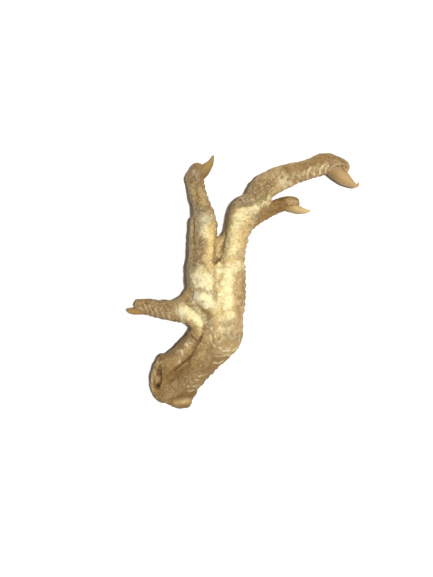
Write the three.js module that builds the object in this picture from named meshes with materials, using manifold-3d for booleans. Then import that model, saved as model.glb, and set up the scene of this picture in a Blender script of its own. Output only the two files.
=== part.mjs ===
// A chicken's foot as sold for the kitchen, cut at the hock and lying on its outer side.
//
// The shank runs to the lower left and ends at the cut. The toes run up and to the right, with the
// inner toe on top, the middle toe half way down and the outer toe underneath on the table. The hind
// toe points left. +Z is up, the table is z = 0, and all sizes are in millimetres.
//
// The skin-covered foot is one solid. Each horn claw sits in a socket in the tip of its toe, and the
// gristle of the hock joint sits in a socket in the cut end of the shank.

import * as THREE from "three";
import { mergeVertices } from "three/addons/utils/BufferGeometryUtils.js";
import Module from "manifold-3d";

const wasm = await Module();
wasm.setup();

// ---------------------------------------------------------------- driving dimensions

const SOCKET_GAP = 0.3; // between a claw or the gristle and the skin round it
const TABLE_PRESS = 0.25; // how much of each low spot is pressed flat where the foot rests
const TO_CENTRE = [-0.7, 0, 0]; // moves the stations below so that the origin is mid-way along and across
const LIMB_SIDES = 16;
const LIMB_STEPS = 2; // rings from one station of a limb to the next
const CLAW_SIDES = 12;
const CLAW_STEPS = 9;
const CAP_RINGS = 3; // rings in the rounded end of a limb
const TANGENT_STEP = 0.01; // share of a centre line over which its direction is taken
const WELD = 1e-4; // points this close are one point
const TABLE_SLAB = 400; // wide enough to go under the whole foot

// Each limb is a list of stations along its centre line. `wide` is half its width as seen from above
// and `high` is half its height there.

// Fleshy core of the palm, from the bend of the shank to the root of the toes.
const PALM = [
  { at: [-7.2, -24.4, 9.2], wide: 6.2, high: 8.4 },
  { at: [-9.4, -18.0, 9.4], wide: 8.2, high: 9.2 },
  { at: [-11.2, -9.5, 9.2], wide: 9.8, high: 9.2 },
  { at: [-11.4, -1.0, 8.8], wide: 10.4, high: 8.6 },
  { at: [-11.2, 6.6, 8.0], wide: 8.6, high: 6.6 },
  { at: [-10.4, 11.6, 7.2], wide: 5.2, high: 4.2 },
];

// Front half of the shank, over the bone, from the palm to the cut.
const SHANK = [
  { at: [-4.4, -15.6, 10.2], wide: 4.8, high: 7.6 },
  { at: [-6.8, -23.2, 9.8], wide: 6.9, high: 8.6 },
  { at: [-12.6, -30.0, 8.8], wide: 6.4, high: 8.2 },
  { at: [-18.0, -36.0, 8.2], wide: 6.0, high: 7.8 },
  { at: [-22.8, -41.0, 7.8], wide: 6.0, high: 7.8 },
  { at: [-26.6, -43.8, 7.4], wide: 5.3, high: 7.4 },
  { at: [-30.2, -46.2, 7.0], wide: 4.9, high: 6.8 },
  { at: [-33.2, -47.8, 6.4], wide: 3.6, high: 5.8 },
];

// Roll of sinew down the back of the shank, parted from the bone by a long crease.
const SINEW = [
  { at: [-16.0, -20.0, 9.2], wide: 4.4, high: 6.4 },
  { at: [-20.4, -25.8, 7.6], wide: 4.3, high: 6.2 },
  { at: [-24.8, -30.4, 6.6], wide: 4.7, high: 6.0 },
  { at: [-29.0, -34.6, 6.4], wide: 4.9, high: 6.0 },
  { at: [-31.8, -38.6, 6.4], wide: 3.8, high: 5.6 },
  { at: [-32.3, -43.0, 6.4], wide: 2.7, high: 5.4 },
  { at: [-31.4, -46.4, 6.4], wide: 2.7, high: 5.2 },
];

// Loose cuff of skin that loops off the back of the cut end and leaves a hollow behind it.
const CUFF = [
  { at: [-30.4, -32.8, 6.0], wide: 2.4, high: 5.0 },
  { at: [-34.2, -34.4, 6.2], wide: 2.1, high: 5.6 },
  { at: [-36.6, -37.6, 6.2], wide: 1.5, high: 5.8 },
  { at: [-37.5, -41.6, 6.0], wide: 1.3, high: 5.8 },
  { at: [-36.9, -45.6, 6.0], wide: 1.4, high: 5.6 },
  { at: [-35.0, -48.4, 5.8], wide: 1.9, high: 5.2 },
  { at: [-31.8, -49.6, 5.6], wide: 2.2, high: 4.8 },
];

// Sloping inside wall of the cuff. It stops short of the low end, so a small gap goes right through.
const CUFF_WALL = [
  { at: [-34.6, -36.4, 3.6], wide: 1.7, high: 3.4 },
  { at: [-35.3, -38.6, 3.4], wide: 1.7, high: 3.3 },
  { at: [-35.6, -40.6, 3.2], wide: 1.6, high: 3.1 },
];

const MIDDLE_TOE = [
  { at: [-6.6, -22.6, 9.8], wide: 6.0, high: 8.2 },
  { at: [-5.5, -16.0, 10.8], wide: 5.6, high: 8.5 },
  { at: [-5.0, -8.0, 11.4], wide: 5.8, high: 8.2 },
  { at: [-4.8, 2.6, 11.4], wide: 5.8, high: 7.6 },
  { at: [-3.6, 12.2, 11.0], wide: 4.9, high: 6.2 },
  { at: [-1.6, 20.6, 10.4], wide: 5.0, high: 5.6 },
  { at: [1.0, 28.6, 9.8], wide: 6.0, high: 5.8 },
  { at: [6.4, 35.2, 8.4], wide: 5.0, high: 5.2 },
  { at: [11.0, 40.6, 7.2], wide: 5.4, high: 5.0 },
  { at: [16.6, 43.4, 6.2], wide: 5.1, high: 4.8 },
  { at: [23.0, 45.8, 5.2], wide: 4.3, high: 4.5 },
  { at: [29.4, 47.8, 4.6], wide: 4.1, high: 4.4 },
  { at: [34.8, 49.6, 4.3], wide: 4.3, high: 4.4 },
  { at: [39.4, 50.2, 4.2], wide: 3.6, high: 4.1 },
  { at: [43.2, 48.6, 4.2], wide: 2.8, high: 3.6 },
];

const INNER_TOE = [
  { at: [-14.6, -10.4, 12.6], wide: 4.6, high: 7.6 },
  { at: [-16.0, -3.4, 13.4], wide: 5.3, high: 7.6 },
  { at: [-16.2, 3.6, 13.2], wide: 5.1, high: 6.8 },
  { at: [-15.8, 10.8, 12.8], wide: 4.4, high: 5.8 },
  { at: [-15.4, 17.8, 12.4], wide: 4.6, high: 5.2 },
  { at: [-15.2, 24.0, 11.6], wide: 4.8, high: 5.2 },
  { at: [-16.6, 30.6, 9.8], wide: 3.9, high: 4.6 },
  { at: [-18.2, 35.2, 8.0], wide: 3.6, high: 4.4 },
  { at: [-19.2, 39.6, 6.0], wide: 3.6, high: 4.5 },
  { at: [-19.8, 43.4, 4.6], wide: 3.9, high: 4.6 },
  { at: [-18.8, 47.4, 4.1], wide: 2.9, high: 4.0 },
];

// Sole skin that shows as a narrow roll along the far side of the inner toe and the palm.
const SOLE_ROLL = [
  { at: [-21.0, 25.6, 8.4], wide: 1.4, high: 3.0 },
  { at: [-20.9, 18.8, 8.8], wide: 1.7, high: 4.4 },
  { at: [-20.2, 12.0, 9.0], wide: 2.2, high: 5.4 },
  { at: [-20.0, 5.2, 9.0], wide: 3.2, high: 6.6 },
  { at: [-19.4, -1.4, 9.2], wide: 3.6, high: 7.2 },
  { at: [-17.6, -7.4, 9.6], wide: 3.6, high: 7.0 },
];

const OUTER_TOE = [
  { at: [-6.4, -10.0, 6.2], wide: 4.4, high: 6.2 },
  { at: [-4.8, 0.2, 5.2], wide: 4.0, high: 5.4 },
  { at: [-3.6, 11.0, 4.4], wide: 3.6, high: 4.6 },
  { at: [-0.8, 19.4, 4.1], wide: 3.4, high: 4.3 },
  { at: [4.8, 25.8, 3.9], wide: 3.3, high: 4.1 },
  { at: [10.2, 29.6, 3.8], wide: 3.1, high: 4.0 },
  { at: [15.4, 31.8, 3.7], wide: 3.0, high: 3.9 },
  { at: [19.6, 33.4, 3.6], wide: 2.8, high: 3.8 },
  { at: [22.6, 33.5, 3.6], wide: 2.2, high: 3.3 },
];

const HIND_TOE = [
  { at: [-14.4, -22.6, 10.4], wide: 4.0, high: 6.0 },
  { at: [-15.4, -17.2, 12.6], wide: 4.6, high: 6.0 },
  { at: [-19.2, -13.0, 13.0], wide: 4.9, high: 5.8 },
  { at: [-24.2, -12.6, 11.2], wide: 4.8, high: 5.2 },
  { at: [-29.2, -12.6, 8.8], wide: 4.2, high: 4.6 },
  { at: [-34.6, -12.0, 6.2], wide: 3.7, high: 4.1 },
  { at: [-39.8, -11.0, 4.0], wide: 3.4, high: 3.9 },
  { at: [-43.4, -9.9, 3.5], wide: 2.5, high: 3.3 },
];

// Thin webs of skin: one between the inner and middle toe, one from the palm to the hind toe.
const TOE_WEB = [
  { at: [-11.2, 6.4, 8.4], wide: 4.6, high: 3.0 },
  { at: [-9.8, 12.4, 8.2], wide: 4.4, high: 1.9 },
  { at: [-8.6, 17.4, 8.0], wide: 3.8, high: 1.4 },
];
const HIND_WEB = [
  { at: [-19.6, -4.0, 8.6], wide: 3.4, high: 5.4 },
  { at: [-22.4, -8.0, 8.8], wide: 3.4, high: 4.2 },
  { at: [-27.0, -10.6, 8.2], wide: 2.6, high: 3.2 },
];

// Each claw is a curved, tapering horn. It starts at `root` inside the toe, leans towards `elbow` and
// ends at `tip`. `wide` and `high` are its half sizes at the root.
const CLAWS = {
  claw_middle: {
    root: [37.6, 48.2, 4.0], elbow: [46.6, 40.4, 4.0], tip: [49.4, 42.2, 3.4],
    wide: 3.4, high: 3.3,
  },
  claw_inner: {
    root: [-17.8, 45.2, 4.1], elbow: [-13.0, 48.6, 3.8], tip: [-12.3, 53.4, 3.2],
    wide: 2.9, high: 2.9,
  },
  claw_outer: {
    root: [18.8, 32.2, 3.5], elbow: [26.0, 28.6, 3.3], tip: [29.0, 30.6, 3.0],
    wide: 2.4, high: 2.7,
  },
  claw_hind: {
    root: [-40.6, -12.2, 3.6], elbow: [-46.6, -13.8, 3.3], tip: [-48.0, -11.4, 3.0],
    wide: 2.2, high: 2.5,
  },
};
const CLAW_TAPER = 0.72; // under 1 keeps the claw full until near its point
const CLAW_POINT = 0.35; // half thickness at the very tip

// Gristle of the hock joint: a bar across the cut with a round knuckle on it, and a short stub that
// runs into the shank.
const JOINT_BAR = [
  { at: [-31.2, -49.0, 5.2], wide: 2.6, high: 3.4 },
  { at: [-27.4, -49.6, 5.2], wide: 3.7, high: 4.0 },
  { at: [-24.0, -48.8, 5.2], wide: 4.2, high: 4.2 },
  { at: [-21.6, -46.2, 5.6], wide: 2.9, high: 4.0 },
];
const JOINT_STUB = [
  { at: [-25.8, -48.0, 5.6], wide: 3.2, high: 3.6 },
  { at: [-22.4, -43.4, 6.4], wide: 2.8, high: 3.2 },
];
const KNUCKLE = { at: [-24.5, -50.4, 4.9], radius: [3.4, 3.7, 4.3] };
const KNUCKLE_SIDES = 16;

// ---------------------------------------------------------------- solids from geometry and back

function solidOf(geometry) {
  const bare = geometry.clone();
  bare.deleteAttribute("normal");
  bare.deleteAttribute("uv");
  const merged = mergeVertices(bare, WELD);
  return new wasm.Manifold(
    new wasm.Mesh({
      numProp: 3,
      vertProperties: merged.attributes.position.array,
      triVerts: new Uint32Array(merged.index.array),
    }),
  );
}

function geometryOf(solid) {
  const mesh = solid.getMesh();
  const geometry = new THREE.BufferGeometry();
  geometry.setAttribute("position", new THREE.BufferAttribute(mesh.vertProperties, 3));
  geometry.setIndex(new THREE.BufferAttribute(mesh.triVerts, 1));
  geometry.computeVertexNormals();
  return geometry;
}

const joinAll = (solids) => solids.reduce((whole, next) => whole.add(next));

// ---------------------------------------------------------------- the shapes

// Wraps a sphere's rows round a centre line: `place(share)` gives the point, and `girth(share)` the
// half width and half height, at a share from 0 to 1 of the way along it. The first and last few rows
// round off the two ends.
function tubeSolid(place, girth, rings, sides) {
  const lastRow = rings + 2 * CAP_RINGS;
  const sphere = new THREE.SphereGeometry(1, sides, lastRow);
  const position = sphere.getAttribute("position");
  const vertical = new THREE.Vector3(0, 0, 1);
  const point = new THREE.Vector3();
  for (let i = 0; i < position.count; i += 1) {
    const row = Math.floor(i / (sides + 1));
    const turn = ((i % (sides + 1)) / sides) * 2 * Math.PI;
    const share = THREE.MathUtils.clamp(1 - (row - CAP_RINGS) / rings, 0, 1);
    const capTurn = (Math.min(row, lastRow - row, CAP_RINGS) / CAP_RINGS) * (Math.PI / 2);
    const shrink = Math.sin(capTurn);
    const pastEnd = Math.cos(capTurn) * (row < CAP_RINGS ? 1 : -1);
    const ahead = place(Math.min(share + TANGENT_STEP, 1));
    const along = ahead.sub(place(Math.max(share - TANGENT_STEP, 0))).normalize();
    const right = along.clone().cross(vertical).normalize();
    const up = right.clone().cross(along);
    const { wide, high } = girth(share);
    point
      .copy(place(share))
      .addScaledVector(along, pastEnd * Math.min(wide, high))
      .addScaledVector(right, -Math.cos(turn) * wide * shrink)
      .addScaledVector(up, Math.sin(turn) * high * shrink);
    position.setXYZ(i, point.x, point.y, point.z);
  }
  return solidOf(sphere);
}

// A limb's skin: a smooth tube through its stations.
function limbSolid(stations, grow = 0) {
  const spine = new THREE.CatmullRomCurve3(stations.map((s) => new THREE.Vector3(...s.at)));
  const sizes = new THREE.SplineCurve(stations.map((s) => new THREE.Vector2(s.wide, s.high)));
  const girth = (share) => {
    const size = sizes.getPoint(share);
    return { wide: size.x + grow, high: size.y + grow };
  };
  return tubeSolid((share) => spine.getPoint(share), girth, LIMB_STEPS * (stations.length - 1), LIMB_SIDES);
}

// A claw, or with `grow` the socket that it sits in.
function clawSolid({ root, elbow, tip, wide, high }, grow = 0) {
  const line = new THREE.QuadraticBezierCurve3(
    new THREE.Vector3(...root),
    new THREE.Vector3(...elbow),
    new THREE.Vector3(...tip),
  );
  const taper = (size, share) => CLAW_POINT + (size - CLAW_POINT) * (1 - share) ** CLAW_TAPER + grow;
  const girth = (share) => ({ wide: taper(wide, share), high: taper(high, share) });
  return tubeSolid((share) => line.getPoint(share), girth, CLAW_STEPS, CLAW_SIDES);
}

function gristleSolid(grow = 0) {
  const ball = new THREE.SphereGeometry(1, KNUCKLE_SIDES, KNUCKLE_SIDES / 2);
  ball.scale(...KNUCKLE.radius.map((radius) => radius + grow));
  ball.translate(...KNUCKLE.at);
  return joinAll([solidOf(ball), limbSolid(JOINT_BAR, grow), limbSolid(JOINT_STUB, grow)]);
}

// Everything below the table top.
function underTable() {
  const slab = new THREE.BoxGeometry(TABLE_SLAB, TABLE_SLAB, TABLE_SLAB);
  slab.translate(0, 0, -TABLE_SLAB / 2);
  return solidOf(slab);
}

function footSolid() {
  const shank = [SHANK, SINEW, CUFF, CUFF_WALL];
  const palm = [PALM, SOLE_ROLL, TOE_WEB, HIND_WEB];
  const toes = [MIDDLE_TOE, INNER_TOE, OUTER_TOE, HIND_TOE];
  const limbs = [...shank, ...palm, ...toes].map((stations) => limbSolid(stations));
  const sockets = Object.values(CLAWS).map((claw) => clawSolid(claw, SOCKET_GAP));
  sockets.push(gristleSolid(SOCKET_GAP));
  const skin = joinAll(limbs).translate([0, 0, -TABLE_PRESS]);
  return skin.subtract(joinAll(sockets)).subtract(underTable());
}

// ---------------------------------------------------------------- the scene graph

const SKIN_LOOK = new THREE.MeshStandardMaterial({ color: 0xc9a871, roughness: 0.7, metalness: 0 });
const HORN_LOOK = new THREE.MeshStandardMaterial({ color: 0xc8a066, roughness: 0.45, metalness: 0 });
const GRISTLE_LOOK = new THREE.MeshStandardMaterial({ color: 0xd8bf85, roughness: 0.4, metalness: 0 });

function named(name, solid, look) {
  const mesh = new THREE.Mesh(geometryOf(solid.translate(TO_CENTRE)), look);
  mesh.name = name;
  return mesh;
}

const chickenFoot = new THREE.Group();
chickenFoot.add(named("foot", footSolid(), SKIN_LOOK));
for (const [name, sizes] of Object.entries(CLAWS)) {
  chickenFoot.add(named(name, clawSolid(sizes), HORN_LOOK));
}
chickenFoot.add(named("hock_gristle", gristleSolid(), GRISTLE_LOOK));

export default chickenFoot;
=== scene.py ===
"""A raw chicken foot, cut at the hock and lying on its outer side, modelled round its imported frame."""

import math

import bpy
import numpy as np
from mathutils import Matrix, Vector, noise


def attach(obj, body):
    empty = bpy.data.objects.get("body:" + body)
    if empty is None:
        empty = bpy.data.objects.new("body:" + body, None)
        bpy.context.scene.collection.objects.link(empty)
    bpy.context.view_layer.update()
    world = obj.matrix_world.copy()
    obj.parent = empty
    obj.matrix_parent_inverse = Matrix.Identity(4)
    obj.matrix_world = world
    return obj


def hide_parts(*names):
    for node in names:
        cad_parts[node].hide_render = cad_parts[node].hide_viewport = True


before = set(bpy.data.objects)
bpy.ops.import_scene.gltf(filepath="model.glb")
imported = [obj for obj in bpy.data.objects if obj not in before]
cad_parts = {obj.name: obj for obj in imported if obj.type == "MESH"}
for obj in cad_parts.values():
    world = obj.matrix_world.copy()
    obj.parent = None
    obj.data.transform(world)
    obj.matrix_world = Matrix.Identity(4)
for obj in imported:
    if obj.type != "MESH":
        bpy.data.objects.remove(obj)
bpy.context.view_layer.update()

bl_info = {
    "name": "Chicken Foot",
    "version": (1, 0, 0),
    "blender": (4, 5, 0),
    "location": "View3D > Sidebar > Chicken Foot",
    "description": "Builds a raw chicken foot with scaly skin, horn claws and gristle at the cut",
    "category": "Add Mesh",
}

# Every piece is modelled in millimetres. The limbs of the skin have the same stations as the CAD
# solid, but for the lower end of the shank and the upper end of the sole roll, which are a little
# slimmer here. The claws and the gristle are shaped more closely than the CAD ones, in the same
# places. `to_frame` then moves a piece by TO_CENTRE and makes it metres.
MM = 0.001
TO_CENTRE = Vector((-0.7, 0.0, 0.0))
BODY = "root"

# ------------------------------------------------------------------ the shapes, in millimetres

# A limb is a row of stations along its centre line: x, y, z, half its width as seen from above, and
# half its height.
LIMBS = {
    "palm": (
        (-7.2, -24.4, 9.2, 6.2, 8.4), (-9.4, -18.0, 9.4, 8.2, 9.2), (-11.2, -9.5, 9.2, 9.8, 9.2),
        (-11.4, -1.0, 8.8, 10.4, 8.6), (-11.2, 6.6, 8.0, 8.6, 6.6), (-10.4, 11.6, 7.2, 5.2, 4.2),
    ),
    "shank": (
        (-4.4, -15.6, 10.2, 4.8, 7.6), (-6.8, -23.2, 9.8, 6.9, 8.6), (-12.6, -30.0, 8.8, 6.4, 8.2),
        (-18.0, -36.0, 8.2, 6.0, 7.8), (-22.8, -41.0, 7.8, 6.0, 7.8), (-26.9, -43.3, 7.4, 4.6, 7.2),
        (-30.5, -45.7, 7.0, 4.2, 6.6), (-33.2, -47.8, 6.4, 3.6, 5.8),
    ),
    "sinew": (
        (-16.0, -20.0, 9.2, 4.4, 6.4), (-20.4, -25.8, 7.6, 4.3, 6.2), (-24.8, -30.4, 6.6, 4.7, 6.0),
        (-29.0, -34.6, 6.4, 4.9, 6.0), (-31.8, -38.6, 6.4, 3.8, 5.6), (-32.3, -43.0, 6.4, 2.7, 5.4),
        (-31.4, -46.4, 6.4, 2.7, 5.2),
    ),
    "cuff": (
        (-30.4, -32.8, 6.0, 2.4, 5.0), (-34.2, -34.4, 6.2, 2.1, 5.6), (-36.6, -37.6, 6.2, 1.5, 5.8),
        (-37.5, -41.6, 6.0, 1.3, 5.8), (-36.9, -45.6, 6.0, 1.4, 5.6), (-35.0, -48.4, 5.8, 1.9, 5.2),
        (-31.8, -49.6, 5.6, 2.2, 4.8),
    ),
    "cuff_wall": (
        (-34.6, -36.4, 3.6, 1.7, 3.4), (-35.3, -38.6, 3.4, 1.7, 3.3), (-35.6, -40.6, 3.2, 1.6, 3.1),
    ),
    "middle_toe": (
        (-6.6, -22.6, 9.8, 6.0, 8.2), (-5.5, -16.0, 10.8, 5.6, 8.5), (-5.0, -8.0, 11.4, 5.8, 8.2),
        (-4.8, 2.6, 11.4, 5.8, 7.6), (-3.6, 12.2, 11.0, 4.9, 6.2), (-1.6, 20.6, 10.4, 5.0, 5.6),
        (1.0, 28.6, 9.8, 6.0, 5.8), (6.4, 35.2, 8.4, 5.0, 5.2), (11.0, 40.6, 7.2, 5.4, 5.0),
        (16.6, 43.4, 6.2, 5.1, 4.8), (23.0, 45.8, 5.2, 4.3, 4.5), (29.4, 47.8, 4.6, 4.1, 4.4),
        (34.8, 49.6, 4.3, 4.3, 4.4), (39.4, 50.2, 4.2, 3.6, 4.1), (43.2, 48.6, 4.2, 2.8, 3.6),
    ),
    "inner_toe": (
        (-14.6, -10.4, 12.6, 4.6, 7.6), (-16.0, -3.4, 13.4, 5.3, 7.6), (-16.2, 3.6, 13.2, 5.1, 6.8),
        (-15.8, 10.8, 12.8, 4.4, 5.8), (-15.4, 17.8, 12.4, 4.6, 5.2), (-15.2, 24.0, 11.6, 4.8, 5.2),
        (-16.6, 30.6, 9.8, 3.9, 4.6), (-18.2, 35.2, 8.0, 3.6, 4.4), (-19.2, 39.6, 6.0, 3.6, 4.5),
        (-19.8, 43.4, 4.6, 3.9, 4.6), (-18.8, 47.4, 4.1, 2.9, 4.0),
    ),
    "sole_roll": (
        (-20.6, 25.6, 8.4, 1.2, 3.0), (-20.5, 18.8, 8.8, 1.5, 4.4), (-20.1, 12.0, 9.0, 2.1, 5.4),
        (-20.0, 5.2, 9.0, 3.2, 6.6), (-19.4, -1.4, 9.2, 3.6, 7.2), (-17.6, -7.4, 9.6, 3.6, 7.0),
    ),
    "outer_toe": (
        (-6.4, -10.0, 6.2, 4.4, 6.2), (-4.8, 0.2, 5.2, 4.0, 5.4), (-3.6, 11.0, 4.4, 3.6, 4.6),
        (-0.8, 19.4, 4.1, 3.4, 4.3), (4.8, 25.8, 3.9, 3.3, 4.1), (10.2, 29.6, 3.8, 3.1, 4.0),
        (15.4, 31.8, 3.7, 3.0, 3.9), (19.6, 33.4, 3.6, 2.8, 3.8), (22.6, 33.5, 3.6, 2.2, 3.3),
    ),
    "hind_toe": (
        (-14.4, -22.6, 10.4, 4.0, 6.0), (-15.4, -17.2, 12.6, 4.6, 6.0), (-19.2, -13.0, 13.0, 4.9, 5.8),
        (-24.2, -12.6, 11.2, 4.8, 5.2), (-29.2, -12.6, 8.8, 4.2, 4.6), (-34.6, -12.0, 6.2, 3.7, 4.1),
        (-39.8, -11.0, 4.0, 3.4, 3.9), (-43.4, -9.9, 3.5, 2.5, 3.3),
    ),
    "toe_web": (
        (-11.2, 6.4, 8.4, 4.6, 3.0), (-9.8, 12.4, 8.2, 4.4, 1.9), (-8.6, 17.4, 8.0, 3.8, 1.4),
    ),
    "hind_web": (
        (-19.6, -4.0, 8.6, 3.4, 5.4), (-22.4, -8.0, 8.8, 3.4, 4.2), (-27.0, -10.6, 8.2, 2.6, 3.2),
    ),
}

# Flesh under the skin that fills the valleys between the limbs, so that the palm is one soft mass.
FLESH = {
    "palm_top": (
        (-10.8, 5.6, 12.4, 3.4, 3.6), (-10.8, 2.0, 13.6, 4.2, 4.6), (-10.6, -4.0, 13.8, 5.0, 5.2),
        (-10.6, -11.0, 13.4, 5.4, 5.3), (-11.2, -17.0, 12.2, 5.2, 5.2), (-11.6, -22.5, 11.0, 4.6, 5.0),
    ),
    "hind_pad": (
        (-23.2, -13.0, 12.6, 4.2, 4.6), (-20.6, -14.2, 13.4, 4.4, 5.2), (-18.0, -17.4, 13.2, 3.6, 5.2),
        (-17.6, -21.0, 11.6, 2.6, 4.8),
    ),
    "web_edge": (
        (-8.8, 14.0, 8.0, 2.4, 1.5), (-7.6, 18.2, 8.0, 1.5, 1.2),
    ),
    "web_slope": (
        (-9.4, 12.0, 8.8, 1.8, 1.5), (-7.4, 16.6, 9.0, 2.2, 1.7), (-6.2, 19.8, 9.2, 1.5, 1.6),
    ),
    "sinew_side": (
        (-17.4, -25.6, 8.6, 3.0, 4.4), (-20.8, -30.0, 8.2, 3.2, 4.8), (-24.4, -34.0, 7.6, 3.2, 4.6),
        (-28.4, -38.2, 7.0, 3.0, 4.6),
    ),
    "cuff_fold": (
        (-33.0, -31.9, 5.4, 1.3, 3.8), (-35.2, -32.9, 5.4, 1.1, 3.6),
    ),
}

# Claws, from the root inside the toe to the point.
CLAWS = {
    "claw_middle": (
        (38.2, 47.9, 4.1, 3.2, 3.0), (40.8, 45.8, 4.1, 3.2, 2.9), (43.5, 43.4, 4.0, 2.7, 2.5),
        (45.2, 42.1, 3.9, 2.1, 2.0), (46.9, 41.0, 3.8, 1.4, 1.4), (48.4, 40.5, 3.7, 0.9, 0.9),
        (49.3, 40.8, 3.6, 0.5, 0.5), (49.5, 41.7, 3.6, 0.25, 0.25),
    ),
    "claw_inner": (
        (-18.1, 45.0, 4.1, 2.7, 2.6), (-16.2, 46.7, 4.1, 2.6, 2.5), (-14.5, 48.5, 4.0, 2.0, 2.0),
        (-13.3, 50.0, 3.8, 1.4, 1.4), (-12.5, 51.5, 3.6, 0.8, 0.9), (-12.1, 52.8, 3.4, 0.4, 0.45),
        (-12.0, 53.4, 3.3, 0.2, 0.2),
    ),
    "claw_outer": (
        (19.2, 32.4, 3.5, 2.3, 2.4), (20.8, 31.7, 3.5, 2.2, 2.3), (22.2, 31.1, 3.4, 1.9, 2.0),
        (24.5, 30.2, 3.3, 1.6, 1.6), (26.4, 29.8, 3.2, 1.1, 1.2), (28.1, 29.7, 3.1, 0.7, 0.7),
        (29.0, 30.0, 3.0, 0.3, 0.3),
    ),
    "claw_hind": (
        (-40.6, -12.1, 3.6, 2.1, 2.2), (-42.7, -12.4, 3.5, 1.9, 2.0), (-44.8, -12.7, 3.4, 1.6, 1.7),
        (-46.2, -12.7, 3.3, 1.5, 1.5), (-47.6, -12.5, 3.2, 1.15, 1.15), (-48.2, -12.2, 3.1, 0.75, 0.75),
    ),
}

# Gristle of the hock joint: a lobe under the edge of the skin, and a lower one with a pale crest.
GRISTLE = {
    "upper_lobe": (
        (-27.4, -49.0, 5.2, 3.2, 4.0), (-23.8, -48.0, 5.4, 3.8, 4.3), (-21.6, -46.2, 5.6, 3.0, 4.1),
    ),
    "lower_lobe": (
        (-32.2, -49.0, 4.8, 2.5, 3.2), (-28.0, -50.4, 5.0, 2.9, 3.9), (-25.2, -51.0, 5.2, 3.0, 4.5),
        (-23.8, -51.0, 5.0, 2.8, 4.2),
    ),
}

LIMB_SIDES = 24
CLAW_SIDES = 20
RING_GAP = 1.2  # millimetres along a limb from ring to ring
CLAW_RING_GAP = 0.35
MEASURING_GAP = 0.5  # from row to row of a centre line that points are measured from
CAP_RINGS = 4
LEAST_RADIUS = 0.15
POINTS_AT_ONCE = 5000  # measured in one go, to spare memory
UP = np.array((0.0, 0.0, 1.0))

SMOOTHING = 0.5  # how far each pass moves a point towards its neighbours
SKIN_PASSES = 8
GRISTLE_PASSES = 12


# ------------------------------------------------------------------ centre lines and lofts


def smooth_rows(rows, gap):
    """Rows on a smooth line through the given rows, about `gap` millimetres apart."""
    rows = np.array(rows, float)
    before = 2 * rows[0] - rows[1]
    after = 2 * rows[-1] - rows[-2]
    a = np.vstack((before, rows, after))
    made = []
    for i in range(len(rows) - 1):
        p0, p1, p2, p3 = a[i : i + 4]
        count = max(1, round(float(np.linalg.norm((p2 - p1)[:3])) / gap))
        for t in np.arange(count) / count:
            bend = (p2 - p0) * t + (2 * p0 - 5 * p1 + 4 * p2 - p3) * t**2
            made.append(p1 + 0.5 * (bend + (3 * p1 - p0 - 3 * p2 + p3) * t**3))
    made.append(rows[-1])
    return np.array(made)


def unit(vectors):
    return vectors / np.linalg.norm(vectors, axis=-1, keepdims=True)


def directions(rows):
    """For each row of a centre line: the way along it, to its right as seen from above, and up."""
    along = unit(np.gradient(rows[:, :3], axis=0))
    right = unit(np.cross(along, UP))
    return along, right, np.cross(right, along)


def make_active(piece):
    """Selects this piece alone."""
    bpy.ops.object.select_all(action="DESELECT")
    piece.select_set(True)
    bpy.context.view_layer.objects.active = piece


def loft(name, stations, gap, sides):
    """A closed tube through the stations, bridged from circles, with rounded ends."""
    rows = smooth_rows(stations, gap)
    along, right, up = directions(rows)
    turns = [step / (CAP_RINGS + 0.5) * math.pi / 2 for step in range(1, CAP_RINGS + 1)]
    cap = [(math.sin(turn), math.cos(turn)) for turn in turns]
    rings = [(0, -beyond, shrink) for beyond, shrink in reversed(cap)]
    rings += [(i, 0.0, 1.0) for i in range(len(rows))]
    rings += [(len(rows) - 1, beyond, shrink) for beyond, shrink in cap]

    tube = bpy.data.objects.new(name, bpy.data.meshes.new(name))
    bpy.context.collection.objects.link(tube)
    make_active(tube)
    bpy.ops.object.mode_set(mode="EDIT")
    for i, beyond, shrink in rings:
        wide = max(rows[i, 3], LEAST_RADIUS) * shrink
        high = max(rows[i, 4], LEAST_RADIUS) * shrink
        centre = Vector(rows[i, :3] + along[i] * beyond * min(rows[i, 3], rows[i, 4]))
        axes = Matrix((right[i], up[i], np.cross(right[i], up[i]))).transposed()
        bpy.ops.mesh.primitive_circle_add(
            vertices=sides, radius=wide, location=centre, rotation=axes.to_euler()
        )
        bpy.ops.transform.resize(
            value=(1.0, high / wide, 1.0),
            orient_type="GLOBAL",
            orient_matrix=axes,
            orient_matrix_type="GLOBAL",
            center_override=centre,
        )
    bpy.ops.mesh.select_all(action="SELECT")
    bpy.ops.mesh.bridge_edge_loops()
    bpy.ops.mesh.select_all(action="DESELECT")
    bpy.ops.mesh.select_non_manifold()
    bpy.ops.mesh.fill_holes(sides=0)
    bpy.ops.mesh.select_all(action="SELECT")
    bpy.ops.mesh.normals_make_consistent(inside=False)
    bpy.ops.object.mode_set(mode="OBJECT")
    return tube


def join(pieces, name):
    """Makes one object of the pieces."""
    make_active(pieces[0])
    for piece in pieces:
        piece.select_set(True)
    bpy.ops.object.join()
    pieces[0].name = name
    return pieces[0]


def apply_modifier(piece, kind, **settings):
    """Adds a modifier of that kind with these settings, and applies it."""
    make_active(piece)
    modifier = piece.modifiers.new(kind.lower(), kind)
    for key, value in settings.items():
        setattr(modifier, key, value)
    bpy.ops.object.modifier_apply(modifier=modifier.name)


def read_points(piece, measure):
    """A row for each point of a piece: its place for "co", or its normal for "normal"."""
    values = np.empty(len(piece.data.vertices) * 3, np.float32)
    piece.data.vertices.foreach_get(measure, values)
    return values.reshape(-1, 3).astype(float)


def set_points(piece, points):
    piece.data.vertices.foreach_set("co", points.astype(np.float32).ravel())
    piece.data.update()


def put_shares(piece, name, shares):
    """Stores a number for each point of a piece."""
    layer = piece.data.attributes.new(name, "FLOAT", "POINT")
    layer.data.foreach_set("value", np.asarray(shares, np.float32))


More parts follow.
